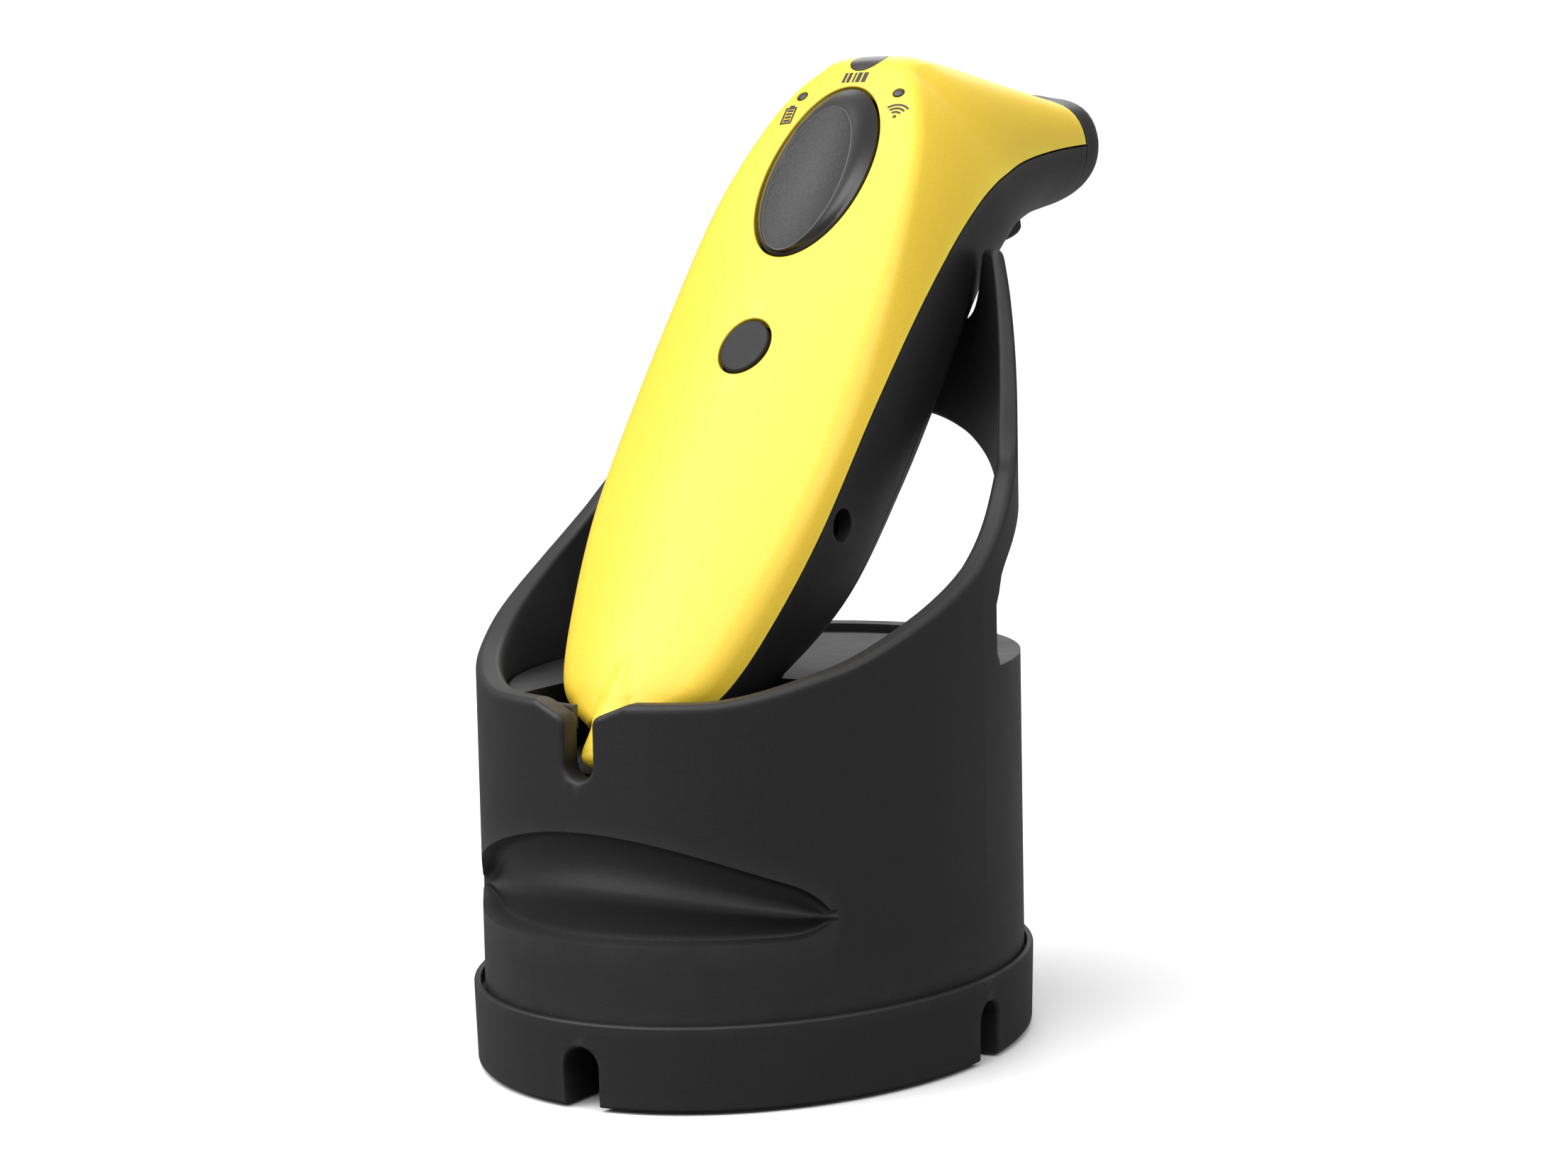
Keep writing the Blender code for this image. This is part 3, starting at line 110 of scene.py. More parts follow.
WINDOW_SILL = 50.9 * MM
NOTCH_WIDTH = 4.2 * MM
NOTCH_BOTTOM = 41.2 * MM
NOTCH_CORNER = 1.5 * MM
NOTCH_LIP = 4.3 * MM
NOTCH_LIP_TURN = math.radians(68)
GRIP_HALF_X = 26.4 * MM
GRIP_BOTTOM = 20.8 * MM
GRIP_TOP = 34.8 * MM
GRIP_TIP_TOP = 26.0 * MM
GRIP_DEPTH = 3.0 * MM
# share of the depth against share of the way up the finger recess
GRIP_PROFILE = (
    (0.0, 0.0), (0.012, 0.6), (0.03, 0.95), (0.08, 1.0), (0.16, 0.97), (0.26, 0.86), (0.34, 0.72),
    (0.4, 0.62), (0.45, 0.6), (0.52, 0.71), (0.6, 0.87), (0.7, 0.97), (0.8, 0.99), (0.88, 0.93),
    (0.94, 0.76), (0.975, 0.45), (0.99, 0.2), (1.0, 0.0),
)
FLOOR_TOP = 49.8 * MM
PIT_REACH = (36.9 * MM, 7.1 * MM)
PIT_HALF_X = 15.6 * MM
PIT_BOTTOM = 41.0 * MM
PIT_WALL = 2.0 * MM
PIT_FRONT_WALL = 1.2 * MM
FLOOR_THICK = 3.0 * MM
HOOK_SLOT = 6.6 * MM
PIN_X = 0.5 * (PIN_LOW.x + PIN_HIGH.x)
PIN_Y = 0.5 * (PIN_LOW.y + PIN_HIGH.y)
PIN_RADIUS = 0.9 * MM
PAD_RADIUS = 1.5 * MM
PAD_CUT = (36 * MM, 56 * MM)
SCREW_RADIUS = 1.2 * MM
SCREW_HEAD = 2.5 * MM
FOOT_RADIUS = 3.6 * MM
FOOT_THICK = 1.3 * MM
SEAT_GAP = 0.3 * MM
SADDLE_FROM = 80 * MM
PIN_HOLE = (30 * MM, 45 * MM)

LEAN = math.radians(40)
BUTTON_POINT = Vector((0.0, PIN_Y + 21.7 * MM, 92.6 * MM))
SHELL_WALL = 1.8 * MM
NOSE_WALL = 2.2 * MM
NOSE_LENGTH = 7.3 * MM
PANE_DEPTH = 0.62
# along and up of the top point, along and up of the bottom point, half width at the
# seam, half width of the face, drop of the face edge, seam share, fullness, squareness
SECTIONS = np.array((
    (-56.4, -1.9, -55.8, -8.6, 4.8, 3.6, 1.0, 0.50, 0.20, 2.4),
    (-53.8, -1.5, -53.3, -12.0, 8.2, 6.8, 1.9, 0.46, 0.20, 2.5),
    (-49.5, -1.1, -49.0, -15.2, 12.0, 10.4, 2.7, 0.41, 0.15, 2.8),
    (-39.0, -0.7, -38.5, -20.6, 15.0, 13.1, 3.0, 0.32, 0.15, 3.2),
    (-24.0, -0.3, -24.0, -25.8, 17.3, 15.7, 3.4, 0.26, 0.15, 3.5),
    (-6.0, 0.0, -6.0, -28.0, 18.2, 16.4, 3.6, 0.25, 0.15, 3.5),
    (11.0, 0.0, 10.0, -28.4, 18.4, 16.1, 3.0, 0.30, 0.15, 3.5),
    (25.0, -0.3, 22.0, -28.8, 18.2, 15.0, 1.8, 0.375, 0.20, 3.3),
    (36.5, -0.8, 30.5, -30.2, 17.6, 13.0, 1.2, 0.455, 0.25, 3.1),
    (46.0, -1.2, 37.2, -33.0, 16.8, 9.6, 0.8, 0.525, 0.30, 2.8),
    (52.3, -2.8, 42.7, -35.6, 15.8, 5.4, 0.5, 0.575, 0.42, 2.6),
    (57.6, -9.4, 48.2, -38.4, 14.9, 5.6, 0.7, 0.565, 0.65, 2.4),
    (66.6, -23.6, 56.0, -43.6, 13.8, 5.8, 0.8, 0.515, 0.80, 2.3),
    (75.4, -37.6, 63.5, -50.2, 13.1, 6.0, 0.8, 0.44, 0.88, 2.2),
))
SHELL_END = 12.97
# share of the first row's size and how far it lies past the first row, in mm
TAIL_CAP = ((0.55, -0.75), (0.78, -0.62), (0.92, -0.38), (0.98, -0.14))
# places where the hollow starts and where it is in step with the outside
INSIDE_FROM = 1.7
INSIDE_FULL = 2.6
# a place counts the rows of SECTIONS from the tail
TRIGGER_PLACE = 7.5
TRIGGER_ALONG = 30.4 * MM
TRIGGER_HALF = (7.7 * MM, 15.0 * MM)
TRIGGER_LIFT = 1.35 * MM
TRIGGER_DISH = 1.5 * MM
TRIGGER_BACK = 2.4 * MM
TRIGGER_RIM = (2.3 * MM, 2.6 * MM)
TRIGGER_UNDER = -3.2 * MM
CREST_EASE = 0.16 * MM
POWER_PLACE = 5.4
POWER_HALF = (3.35 * MM, 4.15 * MM)
POWER_UNDER = -4.0 * MM
LED_ALONG = 44.6 * MM
LED_X = 7.6 * MM
LED_RADIUS = 0.75 * MM
LENS_GAP = 0.12 * MM
LENS_EDGE = 0.1 * MM
READ_LENS_HALF = (2.4 * MM, 3.2 * MM)
READ_LENS_ALONG = 52.0 * MM
READ_LENS_PLACE = 10.0
READ_LENS_TILT = math.radians(28)
# places of the printed symbols on the face and their line, in mm
CHARGE_SPOT = (-8.5, 41.0)
LINK_SPOT = (8.5, 40.2)
BARS_ALONG = 47.55
STROKE = 0.13
HOOK_HALF_WIDTH = 1.75 * MM
# along, up of the ridge, up of the underside and share of the half width, in mm
HOOK_POINTS = (
    (-63.0, -2.3, -3.4, 0.35), (-62.85, -1.8, -4.0, 0.72), (-62.3, -1.3, -4.5, 1.0),
    (-61.0, -0.95, -5.0, 1.03), (-59.0, -0.95, -5.4, 1.03), (-56.5, -1.0, -5.4, 1.4),
    (-54.8, -1.0, -5.2, 1.85), (-53.4, -0.9, -4.8, 2.2), (-50.0, -0.8, -3.2, 1.1), (-46.0, -1.05, -2.2, 0.95),
)
HOOK_TIP = 1.5
REST_PLACE = 12.3
REST_HALF = (4.4 * MM, 4.2 * MM)
REST_BACK = 1.5 * MM
REST_GAP = 0.12 * MM
REST_TALL = 2.6
COVER_ENDS = (-25.0 * MM, 24.0 * MM)
COVER_EDGE = -20.6 * MM
COVER_REACH = (22 * MM, -45 * MM)
JACK = (-21.0 * MM, -10.3 * MM, 2.2 * MM)
BOSS_ALONG = -38.0 * MM
BOSS_X = 7.0 * MM
BOSS_MEET = -12.0 * MM
LOW_BOSS_RADIUS = 3.7 * MM
HEAD_SEAT = -18.9 * MM

# azimuth, elevation and roll; then back, right and up from the origin, in half widths of the base
CAMERA_TURN = (math.radians(30.476), math.radians(6.583), 0.021)
CAMERA_SHIFT = (13.097, 0.127, 1.713)
CAMERA_LENS = 78.05

ALONG = Vector((0.0, math.sin(LEAN), math.cos(LEAN)))
UP = Vector((0.0, -math.cos(LEAN), math.sin(LEAN)))
SCANNER = Matrix((
    (1.0, 0.0, 0.0, BUTTON_POINT.x),
    (0.0, ALONG.y, UP.y, BUTTON_POINT.y),
    (0.0, ALONG.z, UP.z, BUTTON_POINT.z),
    (0.0, 0.0, 0.0, 1.0),
))


# ------------------------------------------------------------------ settings
class ScannerBodySettings(bpy.types.PropertyGroup):
    rows: IntProperty(name="Rows per section", description="Fineness along the body", default=8, min=2)
    face_round: FloatProperty(name="Face edge", description="Rounding between the face and the flank",
                              default=1.5 * MM, unit="LENGTH")
    hole_round: FloatProperty(name="Hole edge", description="Rounding of the holes in the face",
                              default=0.22 * MM, unit="LENGTH")


class DockSettings(bpy.types.PropertyGroup):
    half_x: FloatProperty(name="Half width", description="Half width of the base",
                          default=BASE_HIGH.x, unit="LENGTH")
    half_y: FloatProperty(name="Half depth", description="Half depth of the base",
                          default=BASE_HIGH.y, unit="LENGTH")
    base_top: FloatProperty(name="Skirt top", description="Height of the base's skirt",
                            default=BASE_HIGH.z, unit="LENGTH")
    edge: FloatProperty(name="Opening edge", description="Rounding of the window and notch edges",
                        default=0.75 * MM, unit="LENGTH")


class FinishSettings(bpy.types.PropertyGroup):
    yellow: FloatVectorProperty(name="Shell", description="Colour of the upper shell",
                                default=(0.93, 0.63, 0.045), size=3, subtype="COLOR")
    black: FloatVectorProperty(name="Lower shell", description="Colour of the lower shell",
                               default=(0.009, 0.009, 0.0095), size=3, subtype="COLOR")
    charcoal: FloatVectorProperty(name="Dock", description="Colour of the dock",
                                  default=(0.013, 0.013, 0.0135), size=3, subtype="COLOR")
    button: FloatVectorProperty(name="Buttons", description="Colour of the buttons",
                                default=(0.022, 0.022, 0.023), size=3, subtype="COLOR")


class StageSettings(bpy.types.PropertyGroup):
    key_power: FloatProperty(name="Key light", description="Strength of the broad light from the front left",
                             default=3.6)
    fill_power: FloatProperty(name="Fill light", description="Power of the side light",
                              default=3.2, unit="POWER")
    world: FloatProperty(name="Surround", description="Brightness of the pale surround", default=0.3)


# ------------------------------------------------------------------ mesh helpers
def new_mesh(name, verts, faces):
    mesh = bpy.data.meshes.new(name)
    mesh.from_pydata([tuple(v) for v in verts], [], faces)
    work = bmesh.new()
    work.from_mesh(mesh)
    bmesh.ops.recalc_face_normals(work, faces=work.faces)
    work.to_mesh(mesh)
    work.free()
    return mesh


def add_piece(name, verts, faces):
    obj = bpy.data.objects.new(name, new_mesh(name, verts, faces))
    bpy.context.scene.collection.objects.link(obj)
    return obj


def smooth(obj, angle=35.0, extra=None):
    """Smooth shading led by the large faces, with crisp edges where faces meet above an angle."""
    mesh = obj.data
    mesh.shade_smooth()
    weighted = obj.modifiers.new("even shading", "WEIGHTED_NORMAL")
    weighted.keep_sharp = True
    mesh.set_sharp_from_angle(angle=math.radians(angle))
    if extra:
        for edge in mesh.edges:
            a, b = (mesh.vertices[i].co for i in edge.vertices)
            if extra(a) and extra(b):
                edge.use_edge_sharp = True


def finish_piece(obj, body, mats, nodes, angle=35.0, extra=None):
    if not obj.data.materials:
        for mat in mats:
            obj.data.materials.append(mat)
    smooth(obj, angle, extra)
    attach(obj, body)
    if nodes:
        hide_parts(*nodes)
    return obj


def loft(rings, first_cap=True, last_cap=True):
    count = len(rings[0])
    verts = [Vector(p) for ring in rings for p in ring]
    faces = []
    for row in range(len(rings) - 1):
        low = row * count
        high = low + count
        for col in range(count):
            nxt = (col + 1) % count
            faces.append((low + col, low + nxt, high + nxt, high + col))
    if first_cap:
        faces.append(tuple(range(count)))
    if last_cap:
        faces.append(tuple(range((len(rings) - 1) * count, len(rings) * count)))
    return verts, faces


def sheet_solid(outer, inner):
    rows, cols = len(outer), len(outer[0])
    verts = [Vector(p) for grid in (outer, inner) for row in grid for p in row]
    far = rows * cols
    faces = []
    for r in range(rows - 1):
        for c in range(cols - 1):
            a = r * cols + c
            quad = (a, a + 1, a + cols + 1, a + cols)
            faces.append(quad)
            faces.append(tuple(far + i for i in reversed(quad)))
    border = list(range(cols))
    border += [r * cols + cols - 1 for r in range(1, rows)]
    border += [(rows - 1) * cols + c for c in range(cols - 2, -1, -1)]
    border += [r * cols for r in range(rows - 2, 0, -1)]
    for i, a in enumerate(border):
        b = border[(i + 1) % len(border)]
        faces.append((a, b, far + b, far + a))
    return verts, faces


def tube_solid(rings):
    count = len(rings[0])
    verts = [Vector(p) for ring in rings for p in ring]
    faces = []
    for row in range(len(rings)):
        low = row * count
        high = ((row + 1) % len(rings)) * count
        for col in range(count):
            nxt = (col + 1) % count
            faces.append((low + col, low + nxt, high + nxt, high + col))
    return verts, faces


def rounded_square(turn, power):
    """Point of a unit circle drawn out towards a square, or drawn in where the power is above 1."""
    return (math.copysign(abs(math.cos(turn)) ** power, math.cos(turn)),
            math.copysign(abs(math.sin(turn)) ** power, math.sin(turn)))


def oval(half_a, half_b, count, height, place=None, centre=(0.0, 0.0)):
    points = []
    for i in range(count):
        turn = 2 * math.pi * i / count
        point = Vector((centre[0] + half_a * math.cos(turn), centre[1] + half_b * math.sin(turn), height))
        points.append(place @ point if place else point)
    return points


def prism(half_a, half_b, low, high, place=None, count=48):
    return loft([oval(half_a, half_b, count, z, place) for z in (low, high)])


def block(low, high, place=None):
    corners = ((low[0], low[1]), (high[0], low[1]), (high[0], high[1]), (low[0], high[1]))
    rings = [[(x, y, z) for x, y in corners] for z in (low[2], high[2])]
    if place:
        rings = [[place @ Vector(p) for p in ring] for ring in rings]
    return loft(rings)


def cut(obj, solids, operation="DIFFERENCE"):
    """Applies one exact boolean with solids that don't touch each other."""
    verts, faces = [], []
    for solid_verts, solid_faces in solids:
        start = len(verts)
        verts += list(solid_verts)
        faces += [tuple(start + i for i in f) for f in solid_faces]
    tool = add_piece("tool", verts, faces)
    mod = obj.modifiers.new("cut", "BOOLEAN")
    mod.operation = operation
    mod.solver = "EXACT"
    mod.object = tool
    graph = bpy.context.evaluated_depsgraph_get()
    mesh = bpy.data.meshes.new_from_object(obj.evaluated_get(graph))
    obj.modifiers.clear()
    old, obj.data = obj.data, mesh
    bpy.data.meshes.remove(old)
    bpy.data.objects.remove(tool, do_unlink=True)
    if len(mesh.polygons) < 6:
        raise RuntimeError("the cut left nothing of " + obj.name)


def spline(points, at):
    """Smooth value through (key, value) pairs, with no overshoot at flat stretches."""
    keys = [p[0] for p in points]
    vals = [p[1] for p in points]
    last = len(points) - 1
    if at <= keys[0]:
        return vals[0]
    if at >= keys[last]:
        return vals[last]
    i = max(j for j in range(last) if keys[j] <= at)

    def rise(j):
        return (vals[j + 1] - vals[j]) / (keys[j + 1] - keys[j])

    def slope(j):
        if j in (0, last) or rise(j - 1) * rise(j) <= 0:
            return 0.0
        return 2 * rise(j - 1) * rise(j) / (rise(j - 1) + rise(j))

    width = keys[i + 1] - keys[i]
    u = (at - keys[i]) / width
    return (vals[i] * (1 + 2 * u) * (1 - u) ** 2 + slope(i) * width * u * (1 - u) ** 2
            + vals[i + 1] * u * u * (3 - 2 * u) + slope(i + 1) * width * u * u * (u - 1))


def even(points, count):
    """The same outline with evenly spaced points."""
    pts = np.array(points)
    run = np.concatenate([[0], np.cumsum(np.hypot(*np.diff(pts, axis=0).T))])
    at = np.linspace(0, run[-1], count)
    return [(float(np.interp(a, run, pts[:, 0])), float(np.interp(a, run, pts[:, 1]))) for a in at]


def bezier(a, b, c, count):
    """Points of a quadratic curve from a to c, both ends included."""
    return [tuple((1 - t) ** 2 * a[k] + 2 * t * (1 - t) * b[k] + t * t * c[k] for k in (0, 1))
            for t in (i / count for i in range(count + 1))]


# ------------------------------------------------------------------ scanner body
def section_at(place):
    place = min(max(place, 0.0), len(SECTIONS) - 1.0)
    i = min(int(place), len(SECTIONS) - 2)
    u = place - i
    p0, p1, p2 = SECTIONS[max(i - 1, 0)], SECTIONS[i], SECTIONS[i + 1]
    p3 = SECTIONS[min(i + 2, len(SECTIONS) - 1)]
    vals = 0.5 * (2 * p1 + (p2 - p0) * u + (2 * p0 - 5 * p1 + 4 * p2 - p3) * u * u
                  + (3 * p1 - p0 - 3 * p2 + p3) * u ** 3)
    vals[:7] *= MM
    return vals


def section_half(vals, part, inset, seam_gap, round_edge):
    """Half outline (x, depth) of one section, from the middle outward or down from the seam."""
    depth = math.hypot(vals[0] - vals[2], vals[1] - vals[3])
    width = vals[4] - inset
    seam = depth * vals[7]
    if part == "top":
        face = max(vals[5] - 0.7 * inset, 0.4 * width)
        drop = vals[6]
        end = (width, seam - seam_gap)
        edge = (face, inset + drop)
        mid = (0.5 * (face + width), 0.5 * (edge[1] + end[1]))
        ctrl = (mid[0] + vals[8] * (width - mid[0]), mid[1] + vals[8] * (edge[1] - mid[1]))
        flank = bezier(edge, ctrl, end, 40)
        r = min(round_edge, 0.35 * face, 0.4 * math.dist(edge, end))
        start = (face - r, inset + drop * ((face - r) / face) ** 2)
        beyond = [p for p in flank if math.dist(p, edge) > r]
        face_points = [(x, inset + drop * (x / face) ** 2) for x in np.linspace(0, face - r, 12)]
        turn = bezier(start, edge, beyond[0], 6)
        return face_points[:-1] + turn[:-1] + even(beyond, 9)
    low = depth - inset
    seam = seam + seam_gap
    power = vals[9]
    dense = []
    for k in range(161):
        turn = 0.5 * math.pi * k / 160
        dense.append((width * max(math.cos(turn), 0.0) ** (2 / power),
                      seam + (low - seam) * math.sin(turn) ** (2 / power)))
    return even(dense, 26)


def section_row(place, part, inset=0.0, seam_gap=0.0, share=1.0, ahead=0.0):
    """One row of points across the body in the dock's frame."""
    vals = section_at(place)
    top = Vector((0.0, vals[0], vals[1]))
    down = Vector((0.0, vals[2] - vals[0], vals[3] - vals[1]))
    middle = top + down * vals[7]
    down.normalize()
    round_edge = bpy.context.scene.scanner_body.face_round
    half = section_half(vals, part, inset, seam_gap, round_edge)
    if part == "top":
        half = half[::-1]
    left = [(-x, z) for x, z in half]
    right = half[::-1][1:]
    row = [top + Vector((x, 0, 0)) + down * z for x, z in left + right]
    row = [middle + (p - middle) * share + Vector((0, ahead, 0)) for p in row]
    return [SCANNER @ p for p in row]


def shell_solid(part, grow=0.0):
    count = (len(SECTIONS) - 1) * bpy.context.scene.scanner_body.rows
    places = [SHELL_END * i / count for i in range(count + 1)]
    outer = [section_row(0.0, part, -grow, GAP / 2, s, a * MM) for s, a in TAIL_CAP]
    inner = [section_row(INSIDE_FROM - 0.02 * (len(TAIL_CAP) - k), part, SHELL_WALL, GAP / 2)
             for k in range(len(TAIL_CAP))]
    outer += [section_row(p, part, -grow, GAP / 2) for p in places]
    inner += [section_row(p + INSIDE_FROM * max(1 - p / INSIDE_FULL, 0.0), part, SHELL_WALL, GAP / 2)
              for p in places]
    return sheet_solid(outer, inner)


def whole_row(place, inset=0.0):
    top = section_row(place, "top", inset)
    low = section_row(place, "low", inset)
    return top + low[::-1][1:-1]


def scanner_tree():
    """Whole outer surface of the scanner, for finding heights."""
    verts, faces = loft([whole_row(SHELL_END * i / 104) for i in range(105)])
    return BVHTree.FromPolygons([tuple(v) for v in verts], faces)


def face_place(along, place, tilt=0.0):
    """Frame on the face: Z points out of it."""
    return (SCANNER @ Matrix.Translation((0.0, along, section_at(place)[1]))
            @ Matrix.Rotation(-tilt, 4, "X"))


def surface_height(tree, place, x, y):
    """Height of the face over a point of a face frame, measured along its Z."""
    out = (place.to_3x3() @ Vector((0, 0, 1))).normalized()
    start = place @ Vector((x, y, 0.012))
    hit = tree.ray_cast(start, -out)
    return 0.012 - hit[3] if hit[0] is not None else 0.0


def draped_ring(tree, place, half_x, half_y, lift, count, centre=(0.0, 0.0)):
    """Oval ring that keeps a set height over the face."""
    ring = []
    for i in range(count):
        turn = 2 * math.pi * i / count
        x = centre[0] + half_x * math.cos(turn)
        y = centre[1] + half_y * math.sin(turn)
        ring.append(place @ Vector((x, y, surface_height(tree, place, x, y) + lift)))
    return ring


def flared_hole(tree, place, half_x, half_y, flare, count, depth=-8 * MM):
    """Cutter for a hole in the face with a rounded edge."""
    rings = [oval(half_x, half_y, count, depth, place)]
    for k in range(5):
        turn = 0.5 * math.pi * k / 4
        grow = flare * (1 - math.cos(turn))
        rings.append(draped_ring(tree, place, half_x + grow, half_y + grow,
                                 0.01 * MM - flare * (1 - math.sin(turn)), count))
    rings.append(oval(half_x + flare, half_y + flare, count, 7 * MM, place))
    return loft(rings)


def hook_solid():
    """Finger at the tail, with the ridge that it leaves on the face."""
    keys = [row[0] for row in HOOK_POINTS]
    columns = [tuple(zip(keys, [row[i] for row in HOOK_POINTS])) for i in (1, 2, 3)]
    ease = np.sin(np.linspace(0.1, 1.57, 12))
    stations = [*np.linspace(keys[-1], keys[0] + HOOK_TIP, 40), *(keys[0] + HOOK_TIP * (1 - ease))]
    rings = []
    for along in stations:
        top, low, share = (spline(c, along) for c in columns)
        power = 0.7 + 0.7 * min(max((along + 57.0) / 3.0, 0.0), 1.0)
        ring = []
        for k in range(28):
            side, lift = rounded_square(2 * math.pi * (k + 0.5) / 28, power)
            up = (0.5 * (top + low) + 0.5 * (top - low) * lift) * MM
            ring.append(SCANNER @ Vector((share * HOOK_HALF_WIDTH * side, along * MM, up)))
        rings.append(ring)
    return loft(rings)


def upright(side, low, high, radius, count=24):
    place = SCANNER @ Matrix.Translation((side * BOSS_X, BOSS_ALONG, 0.0))
    return prism(radius, radius, low, high, place, count)


def cover_solid(grow):
    half, deep = COVER_REACH
    return block((-half, COVER_ENDS[0] - grow, deep),
                 (half, COVER_ENDS[1] + grow, COVER_EDGE + grow), SCANNER)


def pad_solid(side, radius):
    return prism(radius, radius, *PAD_CUT, Matrix.Translation((side * PIN_X, PIN_Y, 0.0)), 32)


def nose_ring(share, ahead, inset):
    vals = section_at(SHELL_END)
    top = Vector((0.0, vals[0], vals[1]))
    low = Vector((0.0, vals[2], vals[3]))
    down = (low - top).normalized()
    forward = Vector((0.0, down.z, -down.y))
    if forward.z > 0:
        forward = -forward
    middle = SCANNER @ ((top + low) / 2)
    shift = (SCANNER.to_3x3() @ forward) * ahead
    return [middle + (p - middle) * share + shift for p in whole_row(SHELL_END, inset)]


def rest_solid(tree):
    """Small block under the head, with its upper side drawn to the belly."""
    vals, rear = section_at(REST_PLACE), section_at(REST_PLACE - 0.7)
    base = Vector((0.0, vals[2], vals[3]))
    run = Vector((0.0, vals[2] - rear[2], vals[3] - rear[3])).normalized()
    down = Vector((0.0, run.z, -run.y))
    out = (SCANNER.to_3x3() @ down).normalized()
    rings = []
    for share, lift in ((1.0, None), (1.0, 1.6), (0.97, 1.9), (0.9, 2.3), (0.8, REST_TALL)):
        ring = []
        for k in range(48):
            across, ahead = rounded_square(2 * math.pi * k / 48, 0.6)
            local = base + Vector((REST_HALF[0] * share * across, 0, 0))
            local += run * (REST_HALF[1] * share * ahead - REST_BACK)
            point = SCANNER @ (local + down * (lift or REST_TALL) * MM)
            if lift is None:
                hit = tree.ray_cast(point, -out)[0]
                point = hit + out * REST_GAP if hit is not None else point
            ring.append(point)
        rings.append(ring)
    return loft(rings)


# ------------------------------------------------------------------ dock
def housing_point(angle, inset, height):
    dock = bpy.context.scene.scanner_dock
    half_x = dock.half_x - SKIRT_WALL - GAP - inset
    half_y = dock.half_y - SKIRT_WALL - GAP - inset
    x = half_x * math.cos(angle)
    y = half_y * math.sin(angle)
    start = half_y * math.sin(math.radians(CREASE))
    if y < start:
        share = (start - y) / (start + half_y)
        x *= 1 - 4 * share * (1 - share) * FRONT_FLATTEN / half_x
    return Vector((x, y, height))


def column_angles():
    half = []
    for first, last, steps in ((-90, CREASE, 62), (CREASE, 22, 14), (22, 55, 40), (55, 90, 34)):
        half += [first + (last - first) * k / steps for k in range(steps)]
    return half + [90] + [180 - a for a in half[:0:-1]]


def folded(degrees):
    return degrees if degrees <= 90 else 180 - degrees


def wall_at(height):
    share = (height - WALL_THINS_FROM) / (HORN_TOP - WALL_THINS_FROM)
    return HOUSING_WALL + (TIP_WALL - HOUSING_WALL) * min(max(share, 0.0), 1.0)


def saddle_heights(tree, angles):
    """Rim heights, lowered under the scanner's neck."""
    heights = []
    for degrees in angles:
        height = spline(RIM_POINTS, folded(degrees))
        if height > SADDLE_FROM:
            wall = wall_at(height)
            for share in (-0.05, 0.3, 0.65, 1.05):
                for aside in (-0.5, 0.0, 0.5):
                    point = housing_point(math.radians(degrees + aside), share * wall, 0.055)
                    hit = tree.ray_cast(point, Vector((0.0, 0.0, 1.0)))
                    if hit[0] is not None:
                        height = min(height, hit[0].z - SEAT_GAP)
        heights.append(height)
    return heights


def grip_span(degrees):
    """Low edge, high edge and depth of the finger recess at an angle of the wall."""
    reach = abs(housing_point(math.radians(degrees), 0.0, 0.0).x) / GRIP_HALF_X
    front = degrees < 0 or degrees > 180
    across = min(reach, 0.998)
    top = GRIP_TOP - (GRIP_TOP - GRIP_TIP_TOP) * across ** 2
    middle = 0.5 * (top + GRIP_BOTTOM)
    close = max(1 - max((across - 0.885) / 0.115, 0.0) ** 2, 0.1) ** 0.5
    if not front or reach >= 0.998:
        tip = 0.5 * 0.1 ** 0.5 * (GRIP_TIP_TOP - GRIP_BOTTOM)
        return middle - tip, middle + tip, 0.0
    deep = GRIP_DEPTH * (1 - across ** 14) ** 0.5
    return middle + (GRIP_BOTTOM - middle) * close, middle + (top - middle) * close, deep


